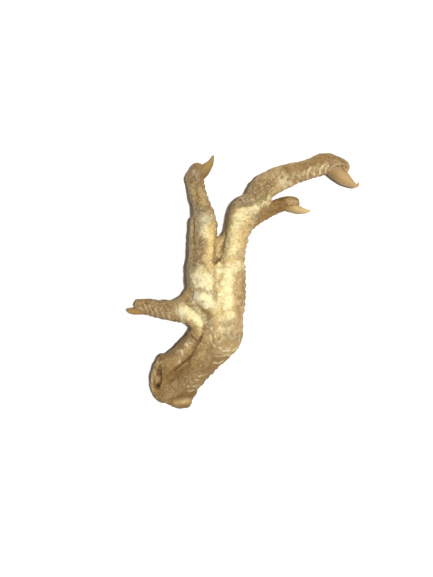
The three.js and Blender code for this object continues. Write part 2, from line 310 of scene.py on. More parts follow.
def put_colours(piece, name, colours):
    """Stores a linear colour for each point of a piece."""
    layer = piece.data.attributes.new(name, "FLOAT_COLOR", "POINT")
    rgba = np.ones((len(colours), 4), np.float32)
    rgba[:, :3] = colours
    layer.data.foreach_set("color", rgba.ravel())


def to_frame(piece, slot, *nodes):
    """Moves a finished piece from its stations to the frame, in metres, attaches it to the body and hides the
    CAD nodes that it stands in for.
    """
    piece.data.transform(Matrix.Scale(MM, 4) @ Matrix.Translation(TO_CENTRE))
    piece.data.update()
    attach(piece, BODY)
    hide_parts(*nodes)


def tone(red, green, blue):
    """A colour given as 0 to 255 on screen, as the linear colour that a shader takes."""
    made = []
    for level in (red, green, blue):
        c = level / 255
        made.append(c / 12.92 if c <= 0.04045 else ((c + 0.055) / 1.055) ** 2.4)
    return (*made, 1.0)


# ------------------------------------------------------------------ settings


def length(name, about, millimetres):
    """A length setting, with its default given in millimetres."""
    return bpy.props.FloatProperty(
        name=name, description=about, default=millimetres * MM, min=0.0, unit="LENGTH", precision=5
    )


def angle(name, about, degrees):
    """An angle setting, with its default given in degrees."""
    return bpy.props.FloatProperty(
        name=name, description=about, default=math.radians(degrees), min=0.0, subtype="ANGLE"
    )


def share(name, about, default):
    """A setting that is a plain factor."""
    return bpy.props.FloatProperty(name=name, description=about, default=default, min=0.0, subtype="FACTOR")


def paint(name, about, red, green, blue):
    """A colour setting, with its default given as screen levels from 0 to 255."""
    return bpy.props.FloatVectorProperty(
        name=name,
        description=about,
        subtype="COLOR",
        size=3,
        min=0.0,
        max=1.0,
        default=tone(red, green, blue)[:3],
    )


class SizeSettings(bpy.types.PropertyGroup):
    """Sizes of the skin's surface and the way it is meshed."""

    blend_voxel: length("Blend voxel", "Voxel that melts the limbs into one skin", 0.6)
    skin_voxel: length("Skin voxel", "Voxel of the finished skin", 0.385)
    grain_size: length("Grain size", "From dot to dot of the skin's grain", 1.0)
    grain_height: length("Grain height", "How far the dots stand up", 0.13)
    fold_depth: share("Fold depth", "Deepens or eases every fold", 1.0)
    scale_height: share("Scale height", "Raises or eases every scale on the toes", 1.0)


class PaintSettings(bpy.types.PropertyGroup):
    """Paints of the skin."""

    cream: paint("Cream", "Palest flesh of the palm", 246, 232, 176)
    grey_cream: paint("Grey cream", "Cool pale flesh of the pads", 228, 217, 178)
    yellow: paint("Yellow", "Warm pale skin beside the ridges", 236, 208, 140)
    straw: paint("Straw", "Ground of the palm", 214, 188, 126)
    tan: paint("Tan", "Ground of the two upper toes", 184, 155, 106)
    shank: paint("Shank", "Ground of the shank", 142, 111, 62)
    buff: paint("Buff", "Ground of the hind toe and webs", 164, 136, 90)
    umber: paint("Umber", "Brown patches", 146, 112, 62)
    honey: paint("Honey", "Golden brown of the outer toe and the hind web", 152, 114, 46)
    # Olive is painted shade over the skin's greenish brown, in the valleys and grooves and on flanks turned
    # away from the lamp.
    olive_shade: paint("Olive", "Greenish brown in the valleys", 134, 112, 64)
    taupe: paint("Taupe", "Greyish patches", 146, 126, 98)
    # Rust is also the painted shade in the folds and pits, in the crotch between the inner and middle toes,
    # and along the sinew's crease.
    rust: paint("Rust", "Dark brown in the folds", 98, 66, 32)
    # Pale line also paints the highlights on the tops of wrinkles and on the sinew.
    pale_line: paint("Pale line", "Edges of scales and tops of wrinkles", 236, 219, 174)


class HornSettings(bpy.types.PropertyGroup):
    """Tones of the claws, at the root and towards the point, their streaks, and tones of the gristle."""

    middle_root: paint("Middle claw root", "Root of the middle claw", 173, 140, 88)
    middle_point: paint("Middle claw point", "Point of the middle claw", 182, 153, 103)
    inner_root: paint("Inner claw root", "Root of the inner claw", 152, 121, 69)
    inner_point: paint("Inner claw point", "Point of the inner claw", 160, 130, 80)
    outer_root: paint("Outer claw root", "Root of the outer claw", 184, 154, 100)
    outer_point: paint("Outer claw point", "Point of the outer claw", 200, 176, 122)
    hind_root: paint("Hind claw root", "Root of the hind claw", 152, 118, 64)
    hind_point: paint("Hind claw point", "Point of the hind claw", 158, 126, 76)
    gristle: paint("Gristle", "Ground of the gristle", 126, 95, 50)
    # Gristle under skin is painted shade on the gristle, under the overhanging edge of the skin.
    gristle_shaded: paint("Gristle under skin", "Gristle next to the edge of the skin", 122, 90, 44)
    gristle_pale: paint("Gristle crest", "Pale crest of the gristle", 202, 173, 114)
    streak_depth: share("Streak depth", "Contrast of the streaks along a claw", 0.16)


class StageSettings(bpy.types.PropertyGroup):
    """Table, lamp and camera."""

    table_width: length("Table width", "Side of the square table top", 14000.0)
    lamp_lean: angle("Lamp lean", "How far the lamp leans to the right of overhead", 10.0)
    lamp_spread: angle("Lamp spread", "How wide the lamp looks from the table", 3.6)
    lamp_strength: share("Lamp strength", "Light that the lamp gives", 3.5)
    fill: share("Fill light", "Strength of the light from overhead", 0.03)
    backdrop: share("Backdrop light", "Strength of the light from low down all around", 0.82)
    fill_colour: paint("Fill colour", "Tint of the light from all around", 255, 249, 243)
    table_colour: paint("Table colour", "Colour of the table top", 245, 245, 245)
    camera_height: length("Camera height", "Height of the camera over the table", 450.0)
    view_tall: length("View height", "What the picture's height covers at the skin", 242.4)


# ------------------------------------------------------------------ folds and marks of the skin

# Places are x, y in millimetres, as seen from above. Folds, wrinkles, swells and plates are felt only by
# skin that faces up. Strokes of paint and of grain also reach the sides, but not the underside.

# Sharp folds, each with painted shade along it: how deep (which also sets how dark that painted shade is),
# half how wide, and the line of each.
CREASES = (
    (1.20, 0.34, ((-17.2, -23.4), (-18.6, -26.5), (-20.0, -28.9), (-21.8, -31.6), (-24.7, -34.1))),
    (0.95, 0.34, ((-24.7, -34.1), (-28.0, -36.8))),
    (0.50, 0.45, ((-28.0, -36.8), (-30.3, -39.0), (-31.4, -40.4))),
    (0.70, 0.36, ((-21.6, -22.2), (-20.4, -23.6), (-18.8, -25.1))),
    (0.60, 0.36, ((-16.5, -21.9), (-17.6, -24.6), (-18.7, -26.6))),
    (0.80, 0.45, ((-10.9, 18.3), (-11.5, 14.6), (-11.6, 10.6), (-11.1, 7.6))),
    (0.16, 0.40, ((-7.2, 20.0), (-7.5, 16.3), (-8.0, 12.2), (-9.3, 8.6))),
    (0.44, 0.34, ((-19.2, 40.6), (-17.0, 39.8), (-15.1, 38.1))),
    (0.40, 0.34, ((-17.5, 36.9), (-15.1, 34.4))),
    (0.40, 0.34, ((-17.1, 32.3), (-14.2, 30.7))),
    (0.34, 0.34, ((-40.2, -10.6), (-39.0, -13.0))),
    (0.40, 0.34, ((-38.0, -10.8), (-36.4, -14.2))),
    (0.34, 0.34, ((-34.6, -13.0), (-33.8, -15.6))),
    (0.70, 0.34, ((-20.0, 26.2), (-20.2, 22.0), (-20.4, 17.5))),
    (0.26, 0.40, ((-20.4, 17.5), (-19.9, 13.0), (-20.3, 8.0))),
    (0.55, 0.45, ((-20.6, -1.4), (-20.3, -3.6), (-20.6, -6.6))),
    (0.55, 0.60, ((-23.6, -8.6), (-20.4, -11.6), (-16.9, -14.2), (-15.9, -17.0), (-16.1, -20.0))),
    (0.22, 0.45, ((-10.9, 6.5), (-11.5, 0.0), (-10.9, -4.5), (-10.8, -8.0))),
    (0.24, 0.60, ((-20.0, -3.0), (-16.6, -4.1), (-13.2, -4.4))),
    (0.42, 0.34, ((37.4, 44.1), (38.0, 45.9), (39.5, 47.6), (42.4, 48.4), (44.4, 47.2))),
    (0.35, 0.34, ((-16.8, 48.6), (-15.7, 45.8), (-16.0, 43.3))),
    (0.28, 0.50, ((-9.7, 6.1), (-5.6, 5.6), (-2.8, 5.9), (0.2, 5.4))),
    (0.60, 0.35, ((3.0, 23.2), (4.1, 22.4))),
    (1.00, 0.60, ((16.4, 43.3), (16.5, 43.2))),
    (1.00, 0.60, ((19.3, 42.4), (19.4, 42.3))),
    (0.90, 0.60, ((-11.2, 7.6), (-10.3, 8.6), (-9.6, 9.6))),
    (0.55, 0.40, ((-12.9, -26.4), (-12.0, -27.9))),
    (0.40, 0.40, ((-27.2, -8.2), (-27.0, -11.4), (-26.2, -16.6))),
    (0.50, 0.34, ((-34.1, -31.6), (-34.6, -33.6), (-33.7, -36.8))),
    (0.90, 0.50, ((-34.3, -35.3), (-34.5, -38.8), (-34.5, -42.6))),
    (0.50, 0.34, ((-30.4, -50.0), (-27.8, -48.0), (-25.4, -46.7), (-22.8, -45.6), (-19.9, -45.0))),
)

# Raised wrinkles, each with a painted highlight along its top: how high, how pale that painted highlight is,
# half how wide, and the line of each.
WRINKLES = (
    (0.38, 0.80, 0.40, ((-13.2, -22.2), (-12.9, -24.6), (-11.9, -27.2))),
    (0.34, 0.62, 0.42, ((-9.8, -27.4), (-7.5, -28.8), (-3.8, -28.5), (-1.4, -27.4))),
    (0.26, 0.66, 0.34, ((-10.7, -31.1), (-8.4, -30.9), (-5.2, -30.6))),
    (0.26, 0.66, 0.34, ((-11.8, -33.9), (-9.5, -34.0), (-8.2, -33.2))),
    (0.24, 0.56, 0.34, ((-18.2, -39.4), (-16.4, -39.0), (-14.7, -38.9))),
    (0.18, 0.46, 0.30, ((-19.9, -40.9), (-17.6, -41.2))),
    (0.24, 0.56, 0.34, ((-22.8, -43.6), (-19.9, -43.8), (-17.8, -43.4))),
    (0.20, 0.46, 0.30, ((-22.2, -45.6), (-19.9, -45.7))),
    (0.28, 0.60, 0.34, ((23.8, 45.1), (23.6, 43.0))),
    (0.34, 0.95, 0.40, ((28.9, 47.9), (27.6, 45.9), (27.7, 44.0))),
    (0.34, 0.95, 0.40, ((34.2, 48.8), (32.8, 47.0), (32.6, 44.8))),
    (0.34, 0.90, 0.40, ((36.2, 48.5), (35.2, 47.3), (35.1, 45.2))),
    (0.18, 0.45, 0.30, ((-42.9, -10.8), (-41.8, -12.6))),
    (0.20, 0.55, 0.30, ((-40.9, -9.9), (-39.5, -12.4))),
    (0.24, 0.65, 0.30, ((-38.7, -10.9), (-37.2, -13.8))),
    (0.22, 0.60, 0.30, ((-36.6, -11.6), (-35.2, -14.6))),
    (0.20, 0.55, 0.30, ((-33.2, -12.8), (-32.4, -15.2))),
    (0.18, 0.50, 0.30, ((-30.6, -13.4), (-30.0, -15.7))),
    (0.24, 0.75, 0.32, ((30.9, 48.0), (30.2, 46.4), (30.2, 44.6))),
    (0.22, 0.60, 0.30, ((26.0, 46.2), (25.6, 44.2))),
    (0.22, 0.45, 0.30, ((21.8, 45.0), (21.4, 43.2))),
    (0.26, 1.00, 0.36, ((-13.2, -19.2), (-12.2, -20.4))),
    (0.24, 0.80, 0.34, ((-11.4, -21.4), (-11.0, -23.6))),
    (0.22, 0.55, 0.34, ((36.6, 45.6), (37.2, 47.0), (38.8, 48.6), (42.2, 49.4))),
)

# Soft rises of the flesh: how high, half how wide, and the line of each.
SWELLS = (
    (0.9, 3.0, ((-17.4, 1.0), (-15.0, -0.4))),
    (0.8, 2.4, ((-18.4, -6.8), (-14.6, -7.8))),
    (0.5, 2.4, ((-16.0, 25.6), (-15.2, 21.4))),
    (0.5, 2.6, ((-24.6, -12.0), (-21.4, -13.6), (-18.8, -16.4))),
    (0.6, 1.7, ((-7.4, -12.0), (-7.2, -4.0), (-6.6, 4.6))),
    (0.5, 1.6, ((-12.9, 20.0), (-12.6, 9.0))),
    (0.6, 3.4, ((8.6, 35.8), (11.6, 38.4))),
)

# The ground tone of each limb.
GROUND = {
    "palm": "straw",
    "shank": "shank",
    "sinew": "shank",
    "cuff": "shank",
    "cuff_wall": "tan",
    "middle_toe": "tan",
    "inner_toe": "buff",
    "sole_roll": "buff",
    "outer_toe": "umber",
    "hind_toe": "buff",
    "toe_web": "tan",
    "hind_web": "buff",
}

# Strokes of paint over the ground: the paint, how strong, half how wide, and the line of each. The olive
# strokes are greenish brown skin with painted shade, mostly in the valleys and on flanks turned away from the
# lamp.
STROKES = (
    ("yellow", 0.55, 4.6, ((-6.2, -12.0), (-6.4, 6.0), (-3.6, 16.0), (-2.0, 24.0))),
    ("tan", 0.80, 2.4, ((-0.4, -20.0), (0.2, -8.0), (0.2, 3.0), (-0.2, 10.0))),
    ("cream", 0.95, 2.3, ((-6.8, -9.6), (-6.9, -4.0), (-6.4, 3.6))),
    ("cream", 0.80, 1.8, ((-9.0, 5.0), (-5.0, 3.8), (-1.6, 6.4))),
    ("cream", 0.70, 1.8, ((-4.4, 12.0), (-3.4, 20.0), (-1.4, 26.0))),
    ("cream", 0.54, 3.2, ((-3.6, 24.0), (-0.4, 28.0), (4.6, 29.6), (8.0, 31.4))),
    ("cream", 0.60, 1.8, ((6.0, 29.6), (8.6, 31.6), (10.8, 33.8))),
    ("cream", 0.18, 1.9, ((10.6, 34.4), (13.2, 37.6), (15.6, 40.4), (17.6, 43.4))),
    ("grey_cream", 0.36, 2.2, ((17.4, 42.6), (18.6, 40.4))),
    ("buff", 0.50, 1.2, ((12.0, 32.6), (13.6, 34.6), (15.0, 36.6))),
    ("umber", 0.70, 3.4, ((8.6, 38.4), (10.6, 40.6))),
    ("buff", 0.75, 2.6, ((0.0, 34.0), (4.6, 36.4), (6.0, 40.0))),
    ("olive_shade", 0.85, 1.2, ((-0.6, 31.2), (3.6, 32.0), (7.6, 33.6), (10.8, 37.0), (12.4, 40.8))),
    ("tan", 0.60, 1.4, ((-6.6, 22.0), (-5.0, 29.0), (-2.0, 33.0))),
    ("olive_shade", 0.25, 1.5, ((-5.8, 24.0), (-4.4, 29.0), (-1.6, 32.4))),
    ("taupe", 0.60, 1.5, ((-1.0, 33.2), (2.6, 33.4))),
    ("umber", 0.82, 2.0, ((18.0, 46.2), (24.6, 47.6), (31.0, 50.0))),
    ("olive_shade", 0.75, 1.3, ((18.4, 46.4), (20.6, 44.4), (22.0, 42.6))),
    ("buff", 0.80, 1.7, ((24.6, 44.0), (30.2, 45.4), (36.6, 46.6))),
    ("umber", 0.75, 2.3, ((34.0, 51.6), (38.0, 50.4))),
    ("buff", 0.40, 1.6, ((38.4, 47.8), (42.0, 49.0))),
    ("grey_cream", 0.64, 2.5, ((-16.4, 26.2), (-14.2, 25.4), (-15.6, 21.6))),
    ("cream", 0.70, 1.6, ((-16.0, 19.4), (-14.0, 20.2))),
    ("yellow", 0.78, 2.1, ((-13.0, 22.0), (-13.0, 15.0), (-13.2, 7.0))),
    ("umber", 0.16, 2.5, ((-17.6, 17.6), (-17.2, 12.0), (-17.8, 8.2))),
    ("taupe", 0.75, 2.2, ((-18.6, 31.6), (-17.2, 29.0))),
    ("taupe", 0.45, 1.4, ((-18.4, 28.6), (-18.6, 20.6))),
    ("umber", 0.85, 2.8, ((-20.2, 41.6), (-18.0, 33.6))),
    ("taupe", 0.50, 2.6, ((-20.2, 41.6), (-18.0, 33.6))),
    ("umber", 0.55, 1.5, ((-19.6, 37.0), (-18.8, 33.2))),
    ("olive_shade", 0.60, 1.8, ((-20.6, 43.6), (-17.4, 41.6))),
    ("taupe", 0.70, 1.3, ((-22.6, 45.0), (-20.4, 43.2))),
    ("umber", 0.60, 1.6, ((-20.6, 48.0), (-17.6, 48.4))),
    ("straw", 0.55, 1.2, ((-17.6, 39.0), (-16.8, 35.6), (-16.2, 32.4))),
    # Painted light on the left flank of the sole roll, which faces away from the lamp.
    ("tan", 0.70, 1.3, ((-21.8, 24.6), (-21.8, 18.0), (-22.6, 9.0))),
    ("olive_shade", 0.75, 1.3, ((-23.0, 7.4), (-22.6, 2.0), (-22.2, -2.6))),
    ("olive_shade", 0.35, 1.0, ((-20.6, 7.6), (-19.2, 4.4), (-20.6, 1.4))),
    ("cream", 0.85, 3.6, ((-17.4, 1.8), (-14.6, -0.4), (-16.8, -1.8))),
    ("grey_cream", 0.70, 2.2, ((-18.6, 1.2), (-17.0, -0.8))),
    ("cream", 0.75, 1.5, ((-13.2, 1.6), (-12.8, -1.8))),
    ("grey_cream", 1.00, 2.7, ((-18.8, -6.6), (-14.4, -6.8), (-13.2, -8.6))),
    ("cream", 0.60, 1.6, ((-16.6, -5.8), (-13.6, -8.0))),
    ("cream", 0.80, 1.2, ((-15.6, -6.0), (-13.4, -7.4))),
    ("buff", 0.55, 1.0, ((-18.8, -3.8), (-14.6, -4.4))),
    ("tan", 0.50, 0.8, ((-11.1, 7.0), (-11.4, 0.0), (-10.9, -9.0))),
    ("umber", 0.35, 0.8, ((-9.0, 2.0), (-8.8, -1.6))),
    ("olive_shade", 0.78, 1.3, ((-22.8, -8.0), (-20.2, -10.6), (-16.2, -13.2), (-12.6, -14.4))),
    ("olive_shade", 0.70, 1.6, ((-15.0, -13.2), (-13.4, -16.6), (-12.4, -20.2))),
    ("taupe", 0.40, 1.3, ((-12.2, -15.6), (-11.6, -18.6))),
    ("tan", 0.55, 2.4, ((-9.6, -18.4), (-5.0, -19.0), (-2.4, -23.8))),
    ("cream", 0.65, 1.4, ((-8.6, -14.6), (-4.4, -14.0))),
    ("cream", 0.55, 1.2, ((-8.6, -19.6), (-6.6, -20.2), (-4.6, -19.2))),
    ("cream", 1.00, 2.6, ((-25.0, -11.2), (-22.2, -12.2), (-19.6, -14.6), (-18.4, -17.2))),
    ("grey_cream", 0.80, 1.4, ((-25.4, -12.6), (-24.8, -16.4))),
    ("straw", 0.70, 1.6, ((-20.8, -18.4), (-18.4, -20.8), (-18.8, -22.8))),
    ("honey", 0.34, 2.4, ((-29.6, -8.6), (-25.6, -8.2), (-22.0, -5.2))),
    ("straw", 0.14, 1.8, ((-28.6, -8.8), (-25.6, -8.2), (-22.4, -5.6))),
    ("umber", 0.75, 1.3, ((-43.4, -8.2), (-37.0, -7.6), (-31.0, -8.4))),
    ("umber", 0.50, 1.6, ((-40.6, -10.6), (-36.8, -12.4))),
    ("buff", 0.60, 2.6, ((-20.4, -24.6), (-25.0, -29.6), (-29.4, -33.6))),
    # Two strokes of painted shade along the crease between the sinew and the shank.
    ("rust", 0.22, 1.1, ((-19.6, -30.4), (-23.4, -34.4), (-28.2, -38.0))),
    ("rust", 0.22, 1.8, ((-28.0, -36.6), (-30.6, -37.6))),
    ("tan", 0.60, 1.8, ((-20.6, -25.2), (-22.4, -27.6))),
    ("rust", 0.26, 2.2, ((-14.4, -33.6), (-15.2, -36.4))),
    ("tan", 0.60, 3.0, ((-15.8, -26.4), (-16.6, -31.0))),
    ("tan", 0.50, 2.6, ((-10.4, -28.4), (-5.2, -27.4))),
    ("taupe", 0.20, 2.4, ((-25.4, -42.6), (-20.4, -41.6))),
    ("buff", 0.45, 2.2, ((-32.4, -45.0), (-29.6, -47.8))),
    ("umber", 0.18, 1.6, ((-9.2, 19.6), (-9.6, 13.6), (-10.2, 9.0))),
    ("straw", 0.55, 0.8, ((-7.8, 17.6), (-8.6, 12.0))),
    # Painted light on the middle toe's left flank, where the toe shades the web.
    ("grey_cream", 0.50, 1.1, ((-6.6, 19.6), (-7.0, 14.0), (-7.8, 10.0))),
    ("tan", 0.75, 1.0, ((-36.4, -34.6), (-36.2, -39.0), (-35.8, -42.4))),
    ("straw", 0.80, 0.6, ((-38.0, -38.4), (-38.2, -41.6), (-37.4, -45.8))),
    ("straw", 0.45, 0.5, ((-35.6, -33.6), (-34.6, -36.4))),
    ("rust", 0.85, 0.9, ((-35.6, -36.2), (-35.0, -38.6))),
    ("taupe", 0.35, 3.2, ((-6.0, -20.0), (-3.0, -22.0))),
    # Four painted highlights on the sinew.
    ("pale_line", 0.62, 0.6, ((-23.4, -26.2), (-22.2, -27.0))),
    ("pale_line", 0.58, 0.5, ((-26.2, -29.4), (-25.2, -30.2))),
    ("pale_line", 0.62, 0.6, ((-26.6, -33.2), (-26.0, -34.0))),
    ("pale_line", 0.45, 0.4, ((-21.6, -24.4), (-21.0, -25.0))),
    ("rust", 0.60, 1.1, ((17.2, 33.8), (17.9, 30.6))),
    ("honey", 0.75, 2.3, ((8.8, 28.6), (12.6, 30.6), (21.0, 33.0))),
    ("rust", 0.44, 2.2, ((6.0, 27.4), (12.0, 31.0), (17.0, 32.6))),
    ("tan", 0.75, 1.5, ((20.4, 34.4), (22.6, 33.0))),
    ("umber", 0.80, 2.4, ((33.0, 51.2), (38.6, 51.8), (42.0, 50.6))),
    ("taupe", 0.55, 2.0, ((39.0, 49.0), (43.0, 49.4))),
    ("umber", 0.40, 2.2, ((37.6, 50.0), (43.4, 49.2))),
    ("tan", 0.60, 1.6, ((-20.0, -19.6), (-18.4, -22.6))),
    ("honey", 0.38, 1.7, ((-21.0, -19.6), (-18.8, -22.6))),
    ("honey", 0.42, 1.5, ((-27.4, -33.4), (-30.6, -38.4))),
    ("umber", 0.55, 1.7, ((-43.8, -8.4), (-40.0, -8.4))),
    ("tan", 0.45, 1.8, ((-3.0, -12.0), (-2.2, 2.0))),
    # Painted shade in the crotch between the inner and middle toes.
    ("rust", 0.55, 0.9, ((-11.2, 8.0), (-10.2, 9.2))),
    ("umber", 0.85, 2.8, ((-21.4, 46.8), (-18.4, 43.4))),
    ("rust", 0.14, 2.4, ((-21.8, 46.6), (-18.0, 44.4))),
    ("taupe", 0.50, 2.2, ((-21.8, 46.6), (-18.0, 44.4))),
    ("cream", 0.55, 1.2, ((-3.0, 6.2), (-8.6, 6.0))),
    ("straw", 0.50, 0.7, ((-3.0, -21.0), (0.4, -19.6))),
    ("tan", 0.45, 1.4, ((-1.6, 24.6), (1.6, 21.6))),
    ("umber", 0.45, 1.0, ((0.4, 3.6), (0.6, -3.4), (0.2, -8.0))),
    ("umber", 0.50, 1.3, ((0.5, -2.0), (0.4, -4.2))),
    ("umber", 0.45, 1.2, ((-0.2, -8.4), (-0.6, -10.2))),
    ("straw", 0.50, 0.8, ((-1.4, 1.0), (-1.6, -5.0))),
    ("umber", 0.45, 1.0, ((-18.8, 41.0), (-18.0, 36.0), (-17.6, 31.5))),
    ("straw", 0.50, 0.6, ((-21.2, 40.4), (-20.2, 36.0), (-19.6, 32.0))),
    ("grey_cream", 0.20, 0.6, ((-19.9, 45.2), (-19.3, 44.6))),
    ("straw", 0.30, 1.2, ((-14.6, -25.6), (-19.6, -33.6))),
    ("umber", 0.30, 1.2, ((5.0, 25.8), (9.0, 29.0))),
)

# Skin with a fine grain of raised dots: how strong, half how wide, and the line of each.
GRAINS = (
    (1.2, 2.9, ((-18.8, 18.0), (-18.4, 7.0))),
    (1.0, 1.2, ((-21.6, 25.0), (-21.4, 10.0))),
    (0.9, 1.6, ((-19.6, 12.0), (-20.4, 4.0))),
    (1.2, 2.0, ((-7.0, 19.0), (-7.6, 13.0), (-8.6, 9.0))),
    (0.4, 2.4, ((-4.6, 18.0), (-4.8, 11.0))),
    (1.0, 3.2, ((-0.4, 33.4), (6.6, 38.0), (12.0, 43.4))),
    (0.5, 2.6, ((16.0, 45.6), (22.0, 47.4), (30.0, 49.4))),
    (0.8, 3.4, ((-17.4, 0.4), (-14.6, -7.6), (-13.0, -0.6))),
    (0.6, 3.0, ((-16.0, 25.0), (-15.4, 20.6))),
    (0.5, 3.0, ((-7.4, 3.0), (-7.2, -12.0))),
    (0.60, 3.2, ((-20.6, 46.0), (-19.6, 36.0), (-18.0, 30.0))),
    (0.30, 2.6, ((4.0, 26.0), (12.0, 31.0), (20.0, 33.0))),
    (0.40, 3.4, ((34.0, 50.0), (42.0, 48.8))),
    (0.70, 3.6, ((-40.0, -9.4), (-30.0, -10.0))),
    (0.50, 1.8, ((-1.4, 4.0), (-1.4, -14.0))),
    (0.40, 4.0, ((-14.0, -29.0), (-20.0, -37.0))),
    (0.45, 4.2, ((-30.4, -46.0), (-25.0, -43.0), (-21.0, -41.0))),
    (0.5, 3.0, ((-24.0, -30.0), (-21.4, -25.0))),
)

# Skin cut up into large polygons with raised pale edges.
PLATES = (
    (1.2, 4.6, ((-9.0, -18.6), (-4.6, -18.0), (-3.0, -22.6), (-8.4, -25.0))),
    (0.5, 3.0, ((-8.6, -29.4), (-5.6, -27.0))),
)

# Rows of broad scales across the top of a toe: the limb, the side that they lie on (1 for the right
# of its centre line, -1 for the left), millimetres from scale to scale, how high, how far round they
# reach, in degrees, at the start and the end of the limb, and how pale their edges are.
SCALES = (
    ("middle_toe", 1, 2.8, 0.52, 50.0, 76.0, 0.30),
    ("inner_toe", 1, 2.9, 0.42, 36.0, 94.0, 0.24),
    ("outer_toe", 1, 2.5, 0.34, 40.0, 62.0, 0.16),
    ("hind_toe", -1, 2.5, 0.46, 54.0, 72.0, 0.04),
    ("shank", -1, 3.0, 0.34, 34.0, 40.0, 0.22),
)

# Pads and notches along one side of a limb: the limb, the side as above, how far along in
# millimetres, half how long, and how high, or how deep where it is below 0.
PADS = (
    ("middle_toe", -1, 53.8, 3.0, 0.35),
    ("middle_toe", -1, 58.6, 1.2, -0.75),
    ("middle_toe", -1, 64.2, 3.4, 0.55),
    ("middle_toe", -1, 70.4, 1.0, -0.40),
    ("middle_toe", -1, 93.6, 2.4, 0.35),
    ("middle_toe", -1, 99.4, 1.6, -0.40),
    ("inner_toe", -1, 56.0, 2.0, 0.25),
    ("middle_toe", 1, 20.0, 14.0, 0.50),
    ("middle_toe", -1, 78.0, 6.0, 0.25),
    ("hind_toe", 1, 26.0, 8.0, 0.40),
    ("outer_toe", 1, 37.0, 4.0, -0.50),
    ("sinew", 1, 15.5, 4.0, -0.60),
    ("cuff", 1, 11.0, 6.0, -0.45),
)

FROSTY = ("cream", "grey_cream")  # paints in which the grain hardly shows
FACING_UP = (0.0, 0.45)  # the upward part of a normal where folds begin, and where they are full
IN_SIGHT = (-0.4, 0.05)  # the same for paint, which also reaches the sides
PAD_SIDE = (0.2, 0.9)  # the sideways part of the way from a limb's middle where a pad begins, and is full
BLEND = 0.08  # how gently one limb's skin gives way to the next

# The small forms of the skin, in millimetres: how high, how large, and how far each strays.
DENT_HEIGHT = 0.28
PUCKER_HEIGHT = 0.20
SEAM_DEPTH = 0.14
COBBLE_HEIGHT = 0.10
COBBLE_SIZE = 2.0
PLATE_HEIGHT = 0.26
PLATE_SIZE = 3.7
FOLD_WANDER = 0.22
SCALE_WANDER = 0.9
GRAIN_WANDER = 0.35
PLATE_WANDER = 0.7
PAINT_WANDER = 1.3

# Folds and wrinkles, in half widths of the line.
LIP_PLACE = 2.2
LIP_HEIGHT = 0.22  # as a share of the fold's depth
# How wide the painted shade along a fold is.
FOLD_SHADE_WIDTH = 1.05
WRINKLE_LEFT = 0.40  # the share of a wrinkle that is left where it breaks off
CREST_POWER = 1.3  # more keeps a wrinkle's painted highlight nearer to its top

# A scale, in shares of the way from its start to the next one's, and in degrees round the toe.
SCALE_RISE = (0.0, 0.75)
SCALE_DROP = (0.90, 1.0)
SCALE_LINE = 0.88
SCALE_LINE_WIDTH = 0.10
SCALE_LEAN = 0.012  # of that way, for each degree
SCALE_LEAST = 0.5  # the share of a scale's height that is left where it is worn
SCALE_MORE = 0.9  # and what a whole one has over that
REACH_BEFORE = 10.0
REACH_PAST = 8.0
SEAM_WIDTH = 6.0

# Dots, cobbles and plates. Their edges are in cell sizes, from a cell's middle or from its own edge.
DOT_EDGE = (0.15, 0.70)
DOT_RAGGED = 0.16
DOT_LEVEL = 0.4  # what part of a dot lies under the skin between the dots
COBBLE_EDGE = (0.0, 0.35)
COBBLE_LEVEL = 0.6
PLATE_EDGE = (0.02, 0.20)

# How strong the grain is: the least anywhere, its mean within a stroke, and how far patches stray from that.
LEAST_GRAIN = 0.12
MEAN_GRAIN = 0.65
GRAIN_SWING = 0.6

# Paint: where a stroke begins and ends to fade, in half widths, and how ragged its edge is.
STROKE_FADE = (0.25, 1.65)
SPECKLE = 0.50
SPECKLE_OF_DOTS = 0.10

# How strong each marking is, as a share of full paint.
FINE_MOTTLE = 0.13
BROAD_MOTTLE = 0.12
BARE_MOTTLE = 1.6  # times stronger on bare skin
FROST_CALMS = 0.9  # and by how much less under frosty paint
FROST_COVER = 0.8  # the share of the grain that frosty paint hides
GRAIN_SHADE = 0.40
GRAIN_PALE = 0.52
MOST_GRAIN = 1.1
PALE_POWER = 1.5  # more keeps the pale dots to the driest skin
PLATE_PALE = 0.40
# How strong the painted shade in the folds is.
FOLD_PAINTED_SHADE = 0.84
MOTTLE_TINT = (0.85, 1.0, 1.35)  # powers of red, green and blue: darker skin is yellower
GRAIN_TINT = (0.9, 1.0, 1.25)
LEAST_DRY = 0.08
GRAIN_DRY = 0.75

# Noise: how far seeds lie apart, how fast finer octaves weaken, and how much finer each one is.
CLOUD_SEED = 17.3
CLOUD_WEAKENING = 1.0
CLOUD_FINER = 2.1
CELL_SEED = 11.7
CELL_SHADE_STEP = 7.0


def ramp(x, low, high):
    """0 at `low` and 1 at `high`, with a smooth rise between them."""
    t = np.clip((x - low) / (high - low), 0.0, 1.0)
    return t * t * (3.0 - 2.0 * t)


def bell(x):
    """1 at 0, falling away smoothly on both sides."""
    return np.exp(-(x**2))


def line_distance(places, line):
    """How far each place is from a drawn line."""
    best = np.full(len(places), np.inf)
    for start, end in zip(np.array(line[:-1], float), np.array(line[1:], float)):
        way = end - start
        part_way = np.clip(((places - start) @ way) / (way @ way), 0.0, 1.0)
        gap = places - start - part_way[:, None] * way
        best = np.minimum(best, np.hypot(gap[:, 0], gap[:, 1]))
    return best


def stroke(places, line, half_width, speckle=0.0):
    """1 on a drawn line, falling away to 0 a little past `half_width` from it."""
    return 1.0 - ramp(line_distance(places, line) / half_width + speckle, *STROKE_FADE)


def lay_over(colours, paint, amount):
    """Lays a paint over the colours, as thickly as `amount` says for each point."""
    colours += amount[:, None] * (np.array(paint) - colours)


